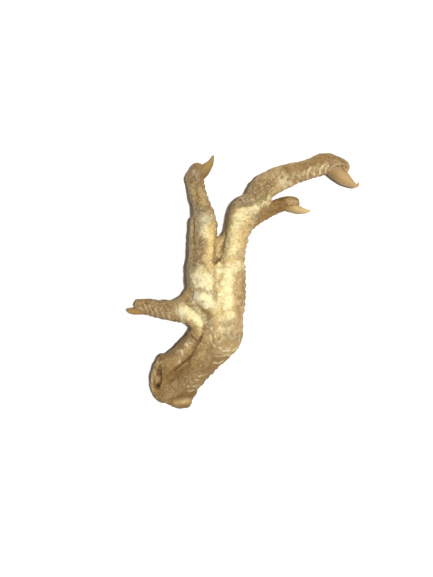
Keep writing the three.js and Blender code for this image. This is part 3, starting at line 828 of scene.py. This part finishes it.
def cloud(points, size, seed, octaves=3):
    """Smooth seeded noise from about -1 to 1, with lumps of that size in millimetres."""
    settings = (CLOUD_WEAKENING, CLOUD_FINER, octaves)
    shifted = (points / size + CLOUD_SEED * seed).tolist()
    return np.array([noise.fractal(p, *settings, noise_basis="PERLIN_ORIGINAL") for p in shifted])


def cells(points, size, seed):
    """Cells of that size: each point's way from its cell's middle and from its edge, and a shade."""
    middle, edge, shade = np.empty((3, len(points)))
    for i, p in enumerate((points / size + CELL_SEED * seed).tolist()):
        gaps, centres = noise.voronoi(p)
        middle[i] = gaps[0]
        edge[i] = gaps[1] - gaps[0]
        shade[i] = noise.cell(centres[0] * CELL_SHADE_STEP)
    return middle, edge, shade


def nearest_rows(points, rows):
    """The number of the row that is nearest to each point, and the way from that row to the point."""
    nearest = np.empty(len(points), int)
    for start in range(0, len(points), POINTS_AT_ONCE):
        some = slice(start, start + POINTS_AT_ONCE)
        ways = points[some, None] - rows[None, :, :3]
        nearest[some] = (ways**2).sum(2).argmin(1)
    return nearest, points - rows[nearest, :3]


def round_limb(points, stations):
    """Where points lie about a limb: how far along, to its right and above it in half sizes, how deep."""
    rows = smooth_rows(stations, MEASURING_GAP)
    along, right, up = directions(rows)
    steps = np.linalg.norm(np.diff(rows[:, :3], axis=0), axis=1)
    run = np.concatenate(([0.0], np.cumsum(steps)))
    nearest, offset = nearest_rows(points, rows)
    ahead = (offset * along[nearest]).sum(1)
    across = (offset * right[nearest]).sum(1) / rows[nearest, 3]
    above = (offset * up[nearest]).sum(1) / rows[nearest, 4]
    past = ahead / np.minimum(rows[nearest, 3], rows[nearest, 4])
    depth = np.sqrt(across**2 + above**2 + past**2)
    return run[nearest] + ahead, across, above, depth, run[-1]


class Skin:
    """Measures of the skin's points, and the masks that shape and paint it."""

    def __init__(self, points, normals, sizes):
        self.points = points
        self.sizes = sizes
        self.xy = points[:, :2]
        self.facing = ramp(normals[:, 2], *FACING_UP)
        self.showing = ramp(normals[:, 2], *IN_SIGHT)
        self.about = {name: round_limb(points, rows) for name, rows in LIMBS.items()}
        depths = np.array([self.about[name][3] for name in LIMBS])
        shares = np.exp(-(depths - depths.min(0)) / BLEND)
        shares /= shares.sum(0)
        self.share = dict(zip(LIMBS, shares))
        self.height, self.fold, self.wrinkle_highlight, self.scale_lines = np.zeros((4, len(points)))

    def stray(self, size, seeds):
        """A way for each point to stray, with one cloud of noise for each direction."""
        return np.stack([cloud(self.points, size, seed) for seed in seeds], 1)

    def strongest(self, strokes, where):
        """The strongest of these strokes at each point."""
        area = np.zeros(len(self.points))
        for strong, half_width, line in strokes:
            area = np.maximum(area, strong * stroke(self.xy, line, half_width) * where)
        return area

    def add_swells(self):
        for high, half_width, line in SWELLS:
            self.height += high * bell(line_distance(self.xy, line) / half_width) * self.facing

    def add_pads(self):
        for limb, side, place, half_length, high in PADS:
            run, across, above, _, _ = self.about[limb]
            towards = ramp(side * across / np.hypot(across, above), *PAD_SIDE)
            self.height += high * bell((run - place) / half_length) * towards * self.share[limb]
        dents = cloud(self.points, size=4.2, seed=21, octaves=2)
        puckers = cloud(self.points, size=1.7, seed=22, octaves=2)
        self.height += DENT_HEIGHT * dents + PUCKER_HEIGHT * puckers

    def add_folds(self):
        places = self.xy + FOLD_WANDER * self.stray(size=2.0, seeds=(31, 32))
        for deep, half_width, line in CREASES:
            gap = line_distance(places, line) / half_width
            lips = LIP_HEIGHT * bell(gap - LIP_PLACE)
            self.height += self.sizes.fold_depth * deep * self.facing * (lips - bell(gap))
            # Painted shade along the fold, laid on in rust paint.
            dark = min(1.0, deep) * self.facing * bell(gap / FOLD_SHADE_WIDTH)
            self.fold = np.maximum(self.fold, dark)
        unbroken = ramp(cloud(self.points, size=1.6, seed=33), low=-0.35, high=0.25)
        left = WRINKLE_LEFT + (1.0 - WRINKLE_LEFT) * unbroken
        for high, pale, half_width, line in WRINKLES:
            rise = left * self.facing * bell(line_distance(places, line) / half_width)
            self.height += high * rise
            # Painted highlight along the wrinkle's top.
            self.wrinkle_highlight = np.maximum(self.wrinkle_highlight, pale * rise**CREST_POWER)

    def add_scales(self):
        wobble = cloud(self.points, size=3.2, seed=5, octaves=2)
        unworn = ramp(cloud(self.points, size=1.5, seed=34), low=-0.45, high=0.35)
        for limb, side, pitch, high, reach_start, reach_end, pale in SCALES:
            run, across, above, _, whole = self.about[limb]
            turn = np.degrees(np.arctan2(above, side * across))
            reach = reach_start + (reach_end - reach_start) * np.clip(run / whole, 0.0, 1.0)
            outside = ramp(np.abs(turn), reach - REACH_BEFORE, reach + REACH_PAST)
            inside = (1.0 - outside) * self.share[limb]
            leaning = run + SCALE_WANDER * wobble + SCALE_LEAN * pitch * turn
            phase = np.mod(leaning / pitch, 1.0)
            profile = ramp(phase, *SCALE_RISE) - ramp(phase, *SCALE_DROP)
            uneven = self.sizes.scale_height * high * (SCALE_LEAST + SCALE_MORE * unworn)
            self.height += uneven * inside * (profile - 0.5)
            line = bell((phase - SCALE_LINE) / SCALE_LINE_WIDTH)
            self.scale_lines = np.maximum(self.scale_lines, pale * line * inside * unworn)
            self.height -= SEAM_DEPTH * (bell((np.abs(turn) - reach) / SEAM_WIDTH) * self.share[limb])

    def add_grain(self):
        bent = self.points + GRAIN_WANDER * self.stray(size=1.5, seeds=(41, 42, 43))
        middle, _, self.dot_shade = cells(bent, self.sizes.grain_size / MM, seed=1)
        ragged = DOT_RAGGED * cloud(self.points, size=0.9, seed=44)
        self.dots = 1.0 - ramp(middle + ragged, *DOT_EDGE)
        patches = MEAN_GRAIN + GRAIN_SWING * cloud(self.points, size=3.0, seed=45)
        self.grain = np.maximum(self.strongest(GRAINS, self.showing) * patches, LEAST_GRAIN)
        self.height += self.sizes.grain_height / MM * self.grain * (self.dots - DOT_LEVEL)

        _, edge, _ = cells(bent, COBBLE_SIZE, seed=2)
        self.height += COBBLE_HEIGHT * (ramp(edge, *COBBLE_EDGE) - COBBLE_LEVEL)

        shifted = self.points + PLATE_WANDER * cloud(self.points, size=2.2, seed=7)[:, None]
        _, edge, _ = cells(shifted, PLATE_SIZE, seed=3)
        unworn = ramp(cloud(self.points, size=2.4, seed=35), low=-0.4, high=0.4)
        self.plate_edge = self.strongest(PLATES, self.facing) * unworn * (1.0 - ramp(edge, *PLATE_EDGE))
        self.height += PLATE_HEIGHT * self.plate_edge

    def tones(self, paints):
        """The colour of each point: the limb's ground tone, then the strokes, marks and grain over it, among
        them painted highlights and painted shade.
        """
        palette = {name: np.array(getattr(paints, name)) for name in PaintSettings.__annotations__}
        colour = sum(self.share[limb][:, None] * palette[name] for limb, name in GROUND.items())
        places = self.xy + PAINT_WANDER * self.stray(size=2.6, seeds=(8, 9))
        speckle = SPECKLE * cloud(self.points, size=1.0, seed=10) + SPECKLE_OF_DOTS * self.dot_shade
        frost = np.zeros(len(self.points))
        for name, strong, half_width, line in STROKES:
            amount = strong * stroke(places, line, half_width, speckle) * self.showing
            lay_over(colour, palette[name], amount)
            frost += amount * ((name in FROSTY) - frost)

        fine = cloud(self.points, size=1.5, seed=12)
        broad = cloud(self.points, size=4.6, seed=13, octaves=2)
        mottle = (FINE_MOTTLE * fine + BROAD_MOTTLE * broad) * (BARE_MOTTLE - FROST_CALMS * frost)
        colour *= (1.0 + mottle)[:, None] ** np.array(MOTTLE_TINT)
        bare = 1.0 - FROST_COVER * frost
        spots = 0.5 * (1.0 - self.dots) + 0.5 * (0.5 - 0.5 * self.dot_shade)
        dark = 1.0 - GRAIN_SHADE * self.grain * spots * bare
        colour *= dark[:, None] ** np.array(GRAIN_TINT)

        chosen = 0.5 + 0.5 * self.dot_shade
        driest = np.clip(self.grain, 0.0, MOST_GRAIN) ** PALE_POWER
        # Pale grains and edges of scales and plates, the painted highlight on the tops of wrinkles, and the
        # painted shade in the folds.
        for name, amount in (
            ("pale_line", GRAIN_PALE * driest * self.dots * chosen),
            ("pale_line", self.scale_lines),
            ("pale_line", self.wrinkle_highlight),
            ("pale_line", PLATE_PALE * np.clip(self.plate_edge, 0.0, 1.0)),
            ("rust", FOLD_PAINTED_SHADE * self.fold),
        ):
            lay_over(colour, palette[name], amount)
        self.dry = np.clip((LEAST_DRY + GRAIN_DRY * self.grain) * bare, 0.0, 1.0)
        return np.clip(colour, 0.0, 1.0)


# ------------------------------------------------------------------ materials

# Each finish: roughness and gloss, then how much light sinks in, how far its red, green and blue go as
# shares of the depth, and that depth in metres. The table has a roughness alone.
FINISH_SOCKETS = (
    "Roughness", "Specular IOR Level", "Subsurface Weight", "Subsurface Radius", "Subsurface Scale",
)
FINISHES = {
    "poultry_skin": (0.62, 0.32, 0.06, (1.0, 0.55, 0.3), 0.0012),
    "claw_horn": (0.58, 0.28, 0.12, (1.0, 0.6, 0.3), 0.0015),
    "joint_gristle": (0.50, 0.32, 0.15, (1.0, 0.6, 0.3), 0.002),
    "white_table": (0.8,),
}

# The skin's finest marks. The textures' scales are lumps to a metre.
SPECKLES = {"Scale": 1150.0, "Detail": 3.0}
PALE_GRAINS = {"Scale": 1300.0}
GRAIN_RIM = (0.62, 0.24)  # in cells from a grain's middle, where it begins and where it is full
GRAINS_CHOSEN = (0.4, 0.75)  # the lots, from 0 to 1, between which a grain turns pale
GRAIN_FROSTING = 0.56  # how much of the pale paint a grain takes on the driest skin
GRAIN_GAPS = -0.30  # how much darker the skin is between grains there
SPECKLE_LEVEL = 1.02
SPECKLE_CONTRAST = 0.9  # on moist skin, and twice that on the driest
SKIN_RELIEF = (0.6, 0.00016)  # how strong, and how deep in metres
SCRATCHES = {"Scale": 1100.0, "Detail": 4.0}
HORN_RELIEF = (0.25, 0.00008)


def new_material(name):
    """A new material with the finish of that name, its node tree and its shader."""
    material = bpy.data.materials.new(name)
    material.use_nodes = True
    tree = material.node_tree
    shader = tree.nodes["Principled BSDF"]
    for socket, value in zip(FINISH_SOCKETS, FINISHES[name]):
        shader.inputs[socket].default_value = value
    return material, tree, shader


def calculate(tree, operation, *values):
    """The result of a Math node, whose values are sockets or plain numbers."""
    node = tree.nodes.new("ShaderNodeMath")
    node.operation = operation
    for socket, value in zip(node.inputs, values):
        if isinstance(value, bpy.types.NodeSocket):
            tree.links.new(value, socket)
        else:
            socket.default_value = value
    return node.outputs["Value"]


def fade(tree, value, none, full):
    """0 where the value is `none` and 1 where it is `full`, with a smooth change between them."""
    node = tree.nodes.new("ShaderNodeMapRange")
    node.interpolation_type = "SMOOTHSTEP"
    node.inputs["From Min"].default_value = none
    node.inputs["From Max"].default_value = full
    tree.links.new(value, node.inputs["Value"])
    return node.outputs["Result"]


def stored(tree, name):
    """The node that reads what a piece has stored for each point under that name."""
    node = tree.nodes.new("ShaderNodeAttribute")
    node.attribute_name = name
    return node


def texture(tree, kind, settings):
    """A texture of that kind on the piece's own coordinates."""
    node = tree.nodes.new(kind)
    for socket, value in settings.items():
        node.inputs[socket].default_value = value
    place = tree.nodes.new("ShaderNodeTexCoord")
    tree.links.new(place.outputs["Object"], node.inputs["Vector"])
    return node


def add_relief(tree, shader, height, strength, distance):
    """Gives a material the relief that is too fine for its mesh."""
    bump = tree.nodes.new("ShaderNodeBump")
    bump.inputs["Strength"].default_value = strength
    bump.inputs["Distance"].default_value = distance
    tree.links.new(height, bump.inputs["Height"])
    tree.links.new(bump.outputs["Normal"], shader.inputs["Normal"])


def make_skin_material(pale):
    """Dry skin: the painted tone under a fine mottle, with pale grains on the drier skin."""
    material, tree, shader = new_material("poultry_skin")
    dry = stored(tree, "skin_dry").outputs["Fac"]
    speckle = texture(tree, "ShaderNodeTexNoise", SPECKLES).outputs["Fac"]
    grains = texture(tree, "ShaderNodeTexVoronoi", PALE_GRAINS)
    lot = tree.nodes.new("ShaderNodeSeparateColor")
    tree.links.new(grains.outputs["Color"], lot.inputs["Color"])

    centre = fade(tree, grains.outputs["Distance"], *GRAIN_RIM)
    chosen = calculate(tree, "MULTIPLY", centre, fade(tree, lot.outputs["Red"], *GRAINS_CHOSEN))
    frosting = calculate(tree, "MULTIPLY", chosen, calculate(tree, "MULTIPLY", dry, GRAIN_FROSTING))
    between = calculate(tree, "SUBTRACT", 1.0, centre)
    shade = calculate(tree, "MULTIPLY", between, calculate(tree, "MULTIPLY", dry, GRAIN_GAPS))
    contrast = calculate(tree, "MULTIPLY_ADD", dry, SPECKLE_CONTRAST, SPECKLE_CONTRAST)
    mottle = calculate(tree, "MULTIPLY", calculate(tree, "SUBTRACT", speckle, 0.5), contrast)
    level = calculate(tree, "ADD", calculate(tree, "ADD", shade, mottle), SPECKLE_LEVEL)

    toned = tree.nodes.new("ShaderNodeVectorMath")
    toned.operation = "SCALE"
    tree.links.new(stored(tree, "skin_tone").outputs["Color"], toned.inputs[0])
    tree.links.new(level, toned.inputs["Scale"])
    frosted = tree.nodes.new("ShaderNodeMix")
    frosted.data_type = "RGBA"
    tree.links.new(frosting, frosted.inputs["Factor"])
    tree.links.new(toned.outputs["Vector"], frosted.inputs["A"])
    frosted.inputs["B"].default_value = (*pale, 1.0)
    tree.links.new(frosted.outputs["Result"], shader.inputs["Base Color"])
    add_relief(tree, shader, speckle, *SKIN_RELIEF)
    return material


def make_horn_material():
    """Horn: the tone of each claw, finely scratched, with a soft shine."""
    material, tree, shader = new_material("claw_horn")
    tree.links.new(stored(tree, "horn_tone").outputs["Color"], shader.inputs["Base Color"])
    scratches = texture(tree, "ShaderNodeTexNoise", SCRATCHES)
    add_relief(tree, shader, scratches.outputs["Fac"], *HORN_RELIEF)
    return material


def make_gristle_material():
    """Gristle: its painted tone, with a low shine."""
    material, tree, shader = new_material("joint_gristle")
    tree.links.new(stored(tree, "gristle_tone").outputs["Color"], shader.inputs["Base Color"])
    return material


# ------------------------------------------------------------------ pieces

SECTION_POWER = 3.0  # of a claw: 2 is a round section, and more is squarer
STREAKS_ROUND = 9  # more puts more streaks round a claw
STREAKS_ALONG = 0.25  # less draws them out longer
HORN_CLOUDS = 0.5  # how strong the clouds in the horn are beside its streaks
ROOT_TO_POINT = (0.15, 0.8)  # shares of the claw's length between which its tone changes
CUTICLE = (0.12, 0.40)  # the same for the painted shade at the root, where the claw comes out under the skin's fold
ROOT_PAINTED_SHADE = 0.16  # how much darker that painted shade is

# The gristle's groove, with half its width, and its paints as strokes: the tone, how strong, half how wide,
# and the line of each. The first paint is painted shade under the overhanging edge of the skin.
GRISTLE_GROOVE = ((-30.0, -48.6), (-26.6, -48.7), (-21.0, -48.5))
GROOVE_WIDTH = 0.45
GROOVE_DEPTH = 0.40
GROOVE_FACING = (0.0, 0.5)
EDGE_OF_SKIN = ((-30.6, -49.6), (-27.8, -48.0), (-25.4, -47.0), (-22.8, -46.2), (-19.9, -45.6))
GRISTLE_PAINTS = (
    ("gristle_shaded", 0.75, 1.9, EDGE_OF_SKIN),
    ("gristle_pale", 0.62, 1.2, ((-27.8, -51.0), (-22.4, -50.3))),
)
GRISTLE_PAINT_RAGGED = 0.35
GRISTLE_FIBRES = ((0.28, 0.09, 0.0), (-0.5, 1.5, 0.0), (0.0, 0.0, 0.7))  # long along the cut, fine across it
FIBRE_HEIGHT = 0.16
LUMP_HEIGHT = 0.30
GRISTLE_MOTTLE = 0.25
FIBRE_SHADE = 0.30
# How much painted shade darkens the groove.
GROOVE_PAINTED_SHADE = 0.35

# The camera looks straight down. Its place on the plan is given in metres, and the picture's height is
# measured at VIEW_LEVEL, half way up the toes.
CAMERA_PLACE = (-0.0114, -0.00315)
VIEW_LEVEL = 0.008
SENSOR_HEIGHT = 24.0
NEAREST_SEEN = 0.01
BACKDROP_EDGE = (0.26, 0.45)  # sines of the heights between which the backdrop gives way to the fill


def square_up(points, stations):
    """Gives a claw's round section flatter sides, as horn has."""
    rows = smooth_rows(stations, MEASURING_GAP)
    _, right, up = directions(rows)
    nearest, offset = nearest_rows(points, rows)
    across = (offset * right[nearest]).sum(1)
    above = (offset * up[nearest]).sum(1)
    turn = np.arctan2(above / rows[nearest, 4], across / rows[nearest, 3])
    corner = np.abs(np.cos(turn)) ** SECTION_POWER + np.abs(np.sin(turn)) ** SECTION_POWER
    swell = (corner ** (-1.0 / SECTION_POWER) - 1.0)[:, None]
    return points + swell * (across[:, None] * right[nearest] + above[:, None] * up[nearest])


def horn_tones(points, stations, at_root, at_point, streak_depth):
    """A claw's colours: from its root tone to its point tone, in streaks along it, with painted shade at the
    root.
    """
    run, across, above, _, whole = round_limb(points, stations)
    towards_point = ramp(run / whole, *ROOT_TO_POINT)[:, None]
    turn = np.arctan2(above, across)
    drawn_out = np.stack((np.cos(turn) * STREAKS_ROUND, np.sin(turn) * STREAKS_ROUND, run * STREAKS_ALONG), 1)
    streaks = cloud(drawn_out, size=3.0, seed=51) + HORN_CLOUDS * cloud(points, size=2.6, seed=52, octaves=2)
    colours = at_root + towards_point * (at_point - at_root)
    # Painted shade at the root, where the skin's fold overhangs the claw.
    shade = 1.0 - ROOT_PAINTED_SHADE * (1.0 - ramp(run / whole, *CUTICLE))
    return np.clip(colours * (shade * (1.0 + streak_depth * streaks))[:, None], 0.0, 1.0)


def shape_gristle(points, normals, tones):
    """Lumps, fibres and the groove of the gristle: the moved points and their colours, with painted shade in
    the groove and under the skin's edge.
    """
    fibres = cloud(np.stack([points @ way for way in GRISTLE_FIBRES], 1), size=1.5, seed=63)
    groove = bell(line_distance(points[:, :2], GRISTLE_GROOVE) / GROOVE_WIDTH)
    groove *= ramp(normals[:, 2], *GROOVE_FACING)
    lumps = LUMP_HEIGHT * cloud(points, size=2.6, seed=61, octaves=2) + FIBRE_HEIGHT * fibres
    moved = points + (lumps - GROOVE_DEPTH * groove)[:, None] * normals
    mottle = 1.0 + GRISTLE_MOTTLE * cloud(moved, size=1.8, seed=62)
    # The groove is darkened with painted shade.
    colours = np.outer(mottle + FIBRE_SHADE * fibres - GROOVE_PAINTED_SHADE * groove, np.array(tones.gristle))
    for name, strong, half_width, line in GRISTLE_PAINTS:
        gap = line_distance(moved[:, :2], line) / half_width + GRISTLE_PAINT_RAGGED * fibres
        lay_over(colours, getattr(tones, name), strong * bell(gap))
    return moved, np.clip(colours, 0.0, 1.0)


def check_closed(piece):
    """Stops the script if any edge of the piece has more or fewer than two faces."""
    make_active(piece)
    bpy.ops.object.mode_set(mode="EDIT")
    bpy.ops.mesh.select_all(action="DESELECT")
    bpy.ops.mesh.select_non_manifold()
    bpy.ops.object.mode_set(mode="OBJECT")
    if any(vertex.select for vertex in piece.data.vertices):
        raise RuntimeError(f"{piece.name} is open somewhere")


class MESH_OT_foot_skin(bpy.types.Operator):
    """Builds the skin: limbs lofted and melted together, then folded, scaled, grained and painted"""

    bl_idname = "mesh.foot_skin"
    bl_label = "Foot Skin"

    def execute(self, context):
        sizes = context.scene.foot_sizes
        shapes = {**LIMBS, **FLESH}
        tubes = [loft(name, rows, RING_GAP, LIMB_SIDES) for name, rows in shapes.items()]
        skin = join(tubes, "foot_skin")
        apply_modifier(skin, "REMESH", mode="VOXEL", voxel_size=sizes.blend_voxel / MM)
        apply_modifier(skin, "SMOOTH", factor=SMOOTHING, iterations=SKIN_PASSES)
        apply_modifier(skin, "REMESH", mode="VOXEL", voxel_size=sizes.skin_voxel / MM)
        points = read_points(skin, "co")
        normals = read_points(skin, "normal")
        surface = Skin(points, normals, sizes)
        surface.add_swells()
        surface.add_pads()
        surface.add_folds()
        surface.add_scales()
        surface.add_grain()
        points += surface.height[:, None] * normals
        points[:, 2] = np.maximum(points[:, 2], 0.0)
        set_points(skin, points)
        check_closed(skin)
        paints = context.scene.foot_paints
        put_colours(skin, "skin_tone", surface.tones(paints))
        put_shares(skin, "skin_dry", surface.dry)
        bpy.ops.object.shade_smooth()
        skin.data.materials.append(make_skin_material(paints.pale_line))
        to_frame(skin, "skin", "foot")
        return {"FINISHED"}


class MESH_OT_foot_claws(bpy.types.Operator):
    """Builds the four horn claws, each curved and tapered to its point"""

    bl_idname = "mesh.foot_claws"
    bl_label = "Foot Claws"

    def execute(self, context):
        tones = context.scene.foot_horn
        horn = make_horn_material()
        for node, stations in CLAWS.items():
            claw = loft(node + "_horn", stations, CLAW_RING_GAP, CLAW_SIDES)
            set_points(claw, square_up(read_points(claw, "co"), stations))
            check_closed(claw)
            toe = node.removeprefix("claw_")
            at_root = np.array(getattr(tones, toe + "_root"))
            at_point = np.array(getattr(tones, toe + "_point"))
            colours = horn_tones(read_points(claw, "co"), stations, at_root, at_point, tones.streak_depth)
            put_colours(claw, "horn_tone", colours)
            bpy.ops.object.shade_smooth()
            claw.data.materials.append(horn)
            to_frame(claw, "horn", node)
        return {"FINISHED"}


class MESH_OT_foot_gristle(bpy.types.Operator):
    """Builds the two lobes of gristle at the hock joint"""

    bl_idname = "mesh.foot_gristle"
    bl_label = "Foot Gristle"

    def execute(self, context):
        tubes = [loft(name, rows, RING_GAP, LIMB_SIDES) for name, rows in GRISTLE.items()]
        gristle = join(tubes, "hock_joint_gristle")
        apply_modifier(gristle, "REMESH", mode="VOXEL", voxel_size=context.scene.foot_sizes.skin_voxel / MM)
        apply_modifier(gristle, "SMOOTH", factor=SMOOTHING, iterations=GRISTLE_PASSES)
        points = read_points(gristle, "co")
        normals = read_points(gristle, "normal")
        points, colours = shape_gristle(points, normals, context.scene.foot_horn)
        set_points(gristle, points)
        check_closed(gristle)
        put_colours(gristle, "gristle_tone", colours)
        bpy.ops.object.shade_smooth()
        gristle.data.materials.append(make_gristle_material())
        to_frame(gristle, "gristle", "hock_gristle")
        return {"FINISHED"}


class SCENE_OT_foot_stage(bpy.types.Operator):
    """Sets the table, the lamp, the fill light and the camera overhead"""

    bl_idname = "scene.foot_stage"
    bl_label = "Foot Stage"

    def execute(self, context):
        stage = context.scene.foot_stage
        bpy.ops.object.select_all(action="DESELECT")
        bpy.ops.mesh.primitive_plane_add(size=stage.table_width, location=(0.0, 0.0, 0.0))
        table = context.object
        table.name = "table_top"
        material, _, shader = new_material("white_table")
        shader.inputs["Base Color"].default_value = (*stage.table_colour, 1.0)
        table.data.materials.append(material)

        world = bpy.data.worlds.new("studio")
        world.use_nodes = True
        tree = world.node_tree
        background = tree.nodes["Background"]
        background.inputs["Color"].default_value = (*stage.fill_colour, 1.0)
        sky = tree.nodes.new("ShaderNodeTexCoord")
        rise = tree.nodes.new("ShaderNodeSeparateXYZ")
        tree.links.new(sky.outputs["Generated"], rise.inputs["Vector"])
        overhead = fade(tree, rise.outputs["Z"], *BACKDROP_EDGE)
        strength = calculate(tree, "MULTIPLY_ADD", overhead, stage.fill - stage.backdrop, stage.backdrop)
        tree.links.new(strength, background.inputs["Strength"])
        context.scene.world = world

        bpy.ops.object.light_add(type="SUN", location=(0.0, 0.0, stage.camera_height))
        lamp = context.object
        lamp.data.angle = stage.lamp_spread
        lamp.data.energy = stage.lamp_strength
        lamp.rotation_euler = (0.0, stage.lamp_lean, 0.0)

        bpy.ops.object.camera_add(location=(*CAMERA_PLACE, stage.camera_height), rotation=(0.0, 0.0, 0.0))
        camera = context.object
        camera.data.sensor_fit = "VERTICAL"
        camera.data.sensor_height = SENSOR_HEIGHT
        camera.data.lens = SENSOR_HEIGHT * (stage.camera_height - VIEW_LEVEL) / stage.view_tall
        camera.data.clip_start = NEAREST_SEEN
        context.scene.camera = camera
        context.scene.view_settings.view_transform = "Standard"
        return {"FINISHED"}


class VIEW3D_PT_chicken_foot(bpy.types.Panel):
    """Lists the steps that build the foot"""

    bl_label = "Chicken Foot"
    bl_idname = "VIEW3D_PT_chicken_foot"
    bl_space_type = "VIEW_3D"
    bl_region_type = "UI"
    bl_category = "Chicken Foot"

    def draw(self, context):
        for step in STEPS:
            self.layout.operator(step.bl_idname)


# ------------------------------------------------------------------ running

SETTINGS = {
    "foot_sizes": SizeSettings,
    "foot_paints": PaintSettings,
    "foot_horn": HornSettings,
    "foot_stage": StageSettings,
}
STEPS = (MESH_OT_foot_skin, MESH_OT_foot_claws, MESH_OT_foot_gristle, SCENE_OT_foot_stage)


def register():
    for settings in SETTINGS.values():
        bpy.utils.register_class(settings)
    for step in (*STEPS, VIEW3D_PT_chicken_foot):
        bpy.utils.register_class(step)
    for name, settings in SETTINGS.items():
        setattr(bpy.types.Scene, name, bpy.props.PointerProperty(type=settings))


def unregister():
    for name in SETTINGS:
        delattr(bpy.types.Scene, name)
    for step in (VIEW3D_PT_chicken_foot, *reversed(STEPS)):
        bpy.utils.unregister_class(step)
    for settings in reversed(SETTINGS.values()):
        bpy.utils.unregister_class(settings)


def main():
    register()
    bpy.ops.mesh.foot_skin()
    bpy.ops.mesh.foot_claws()
    bpy.ops.mesh.foot_gristle()
    bpy.ops.scene.foot_stage()


if __name__ == "__main__":
    main()
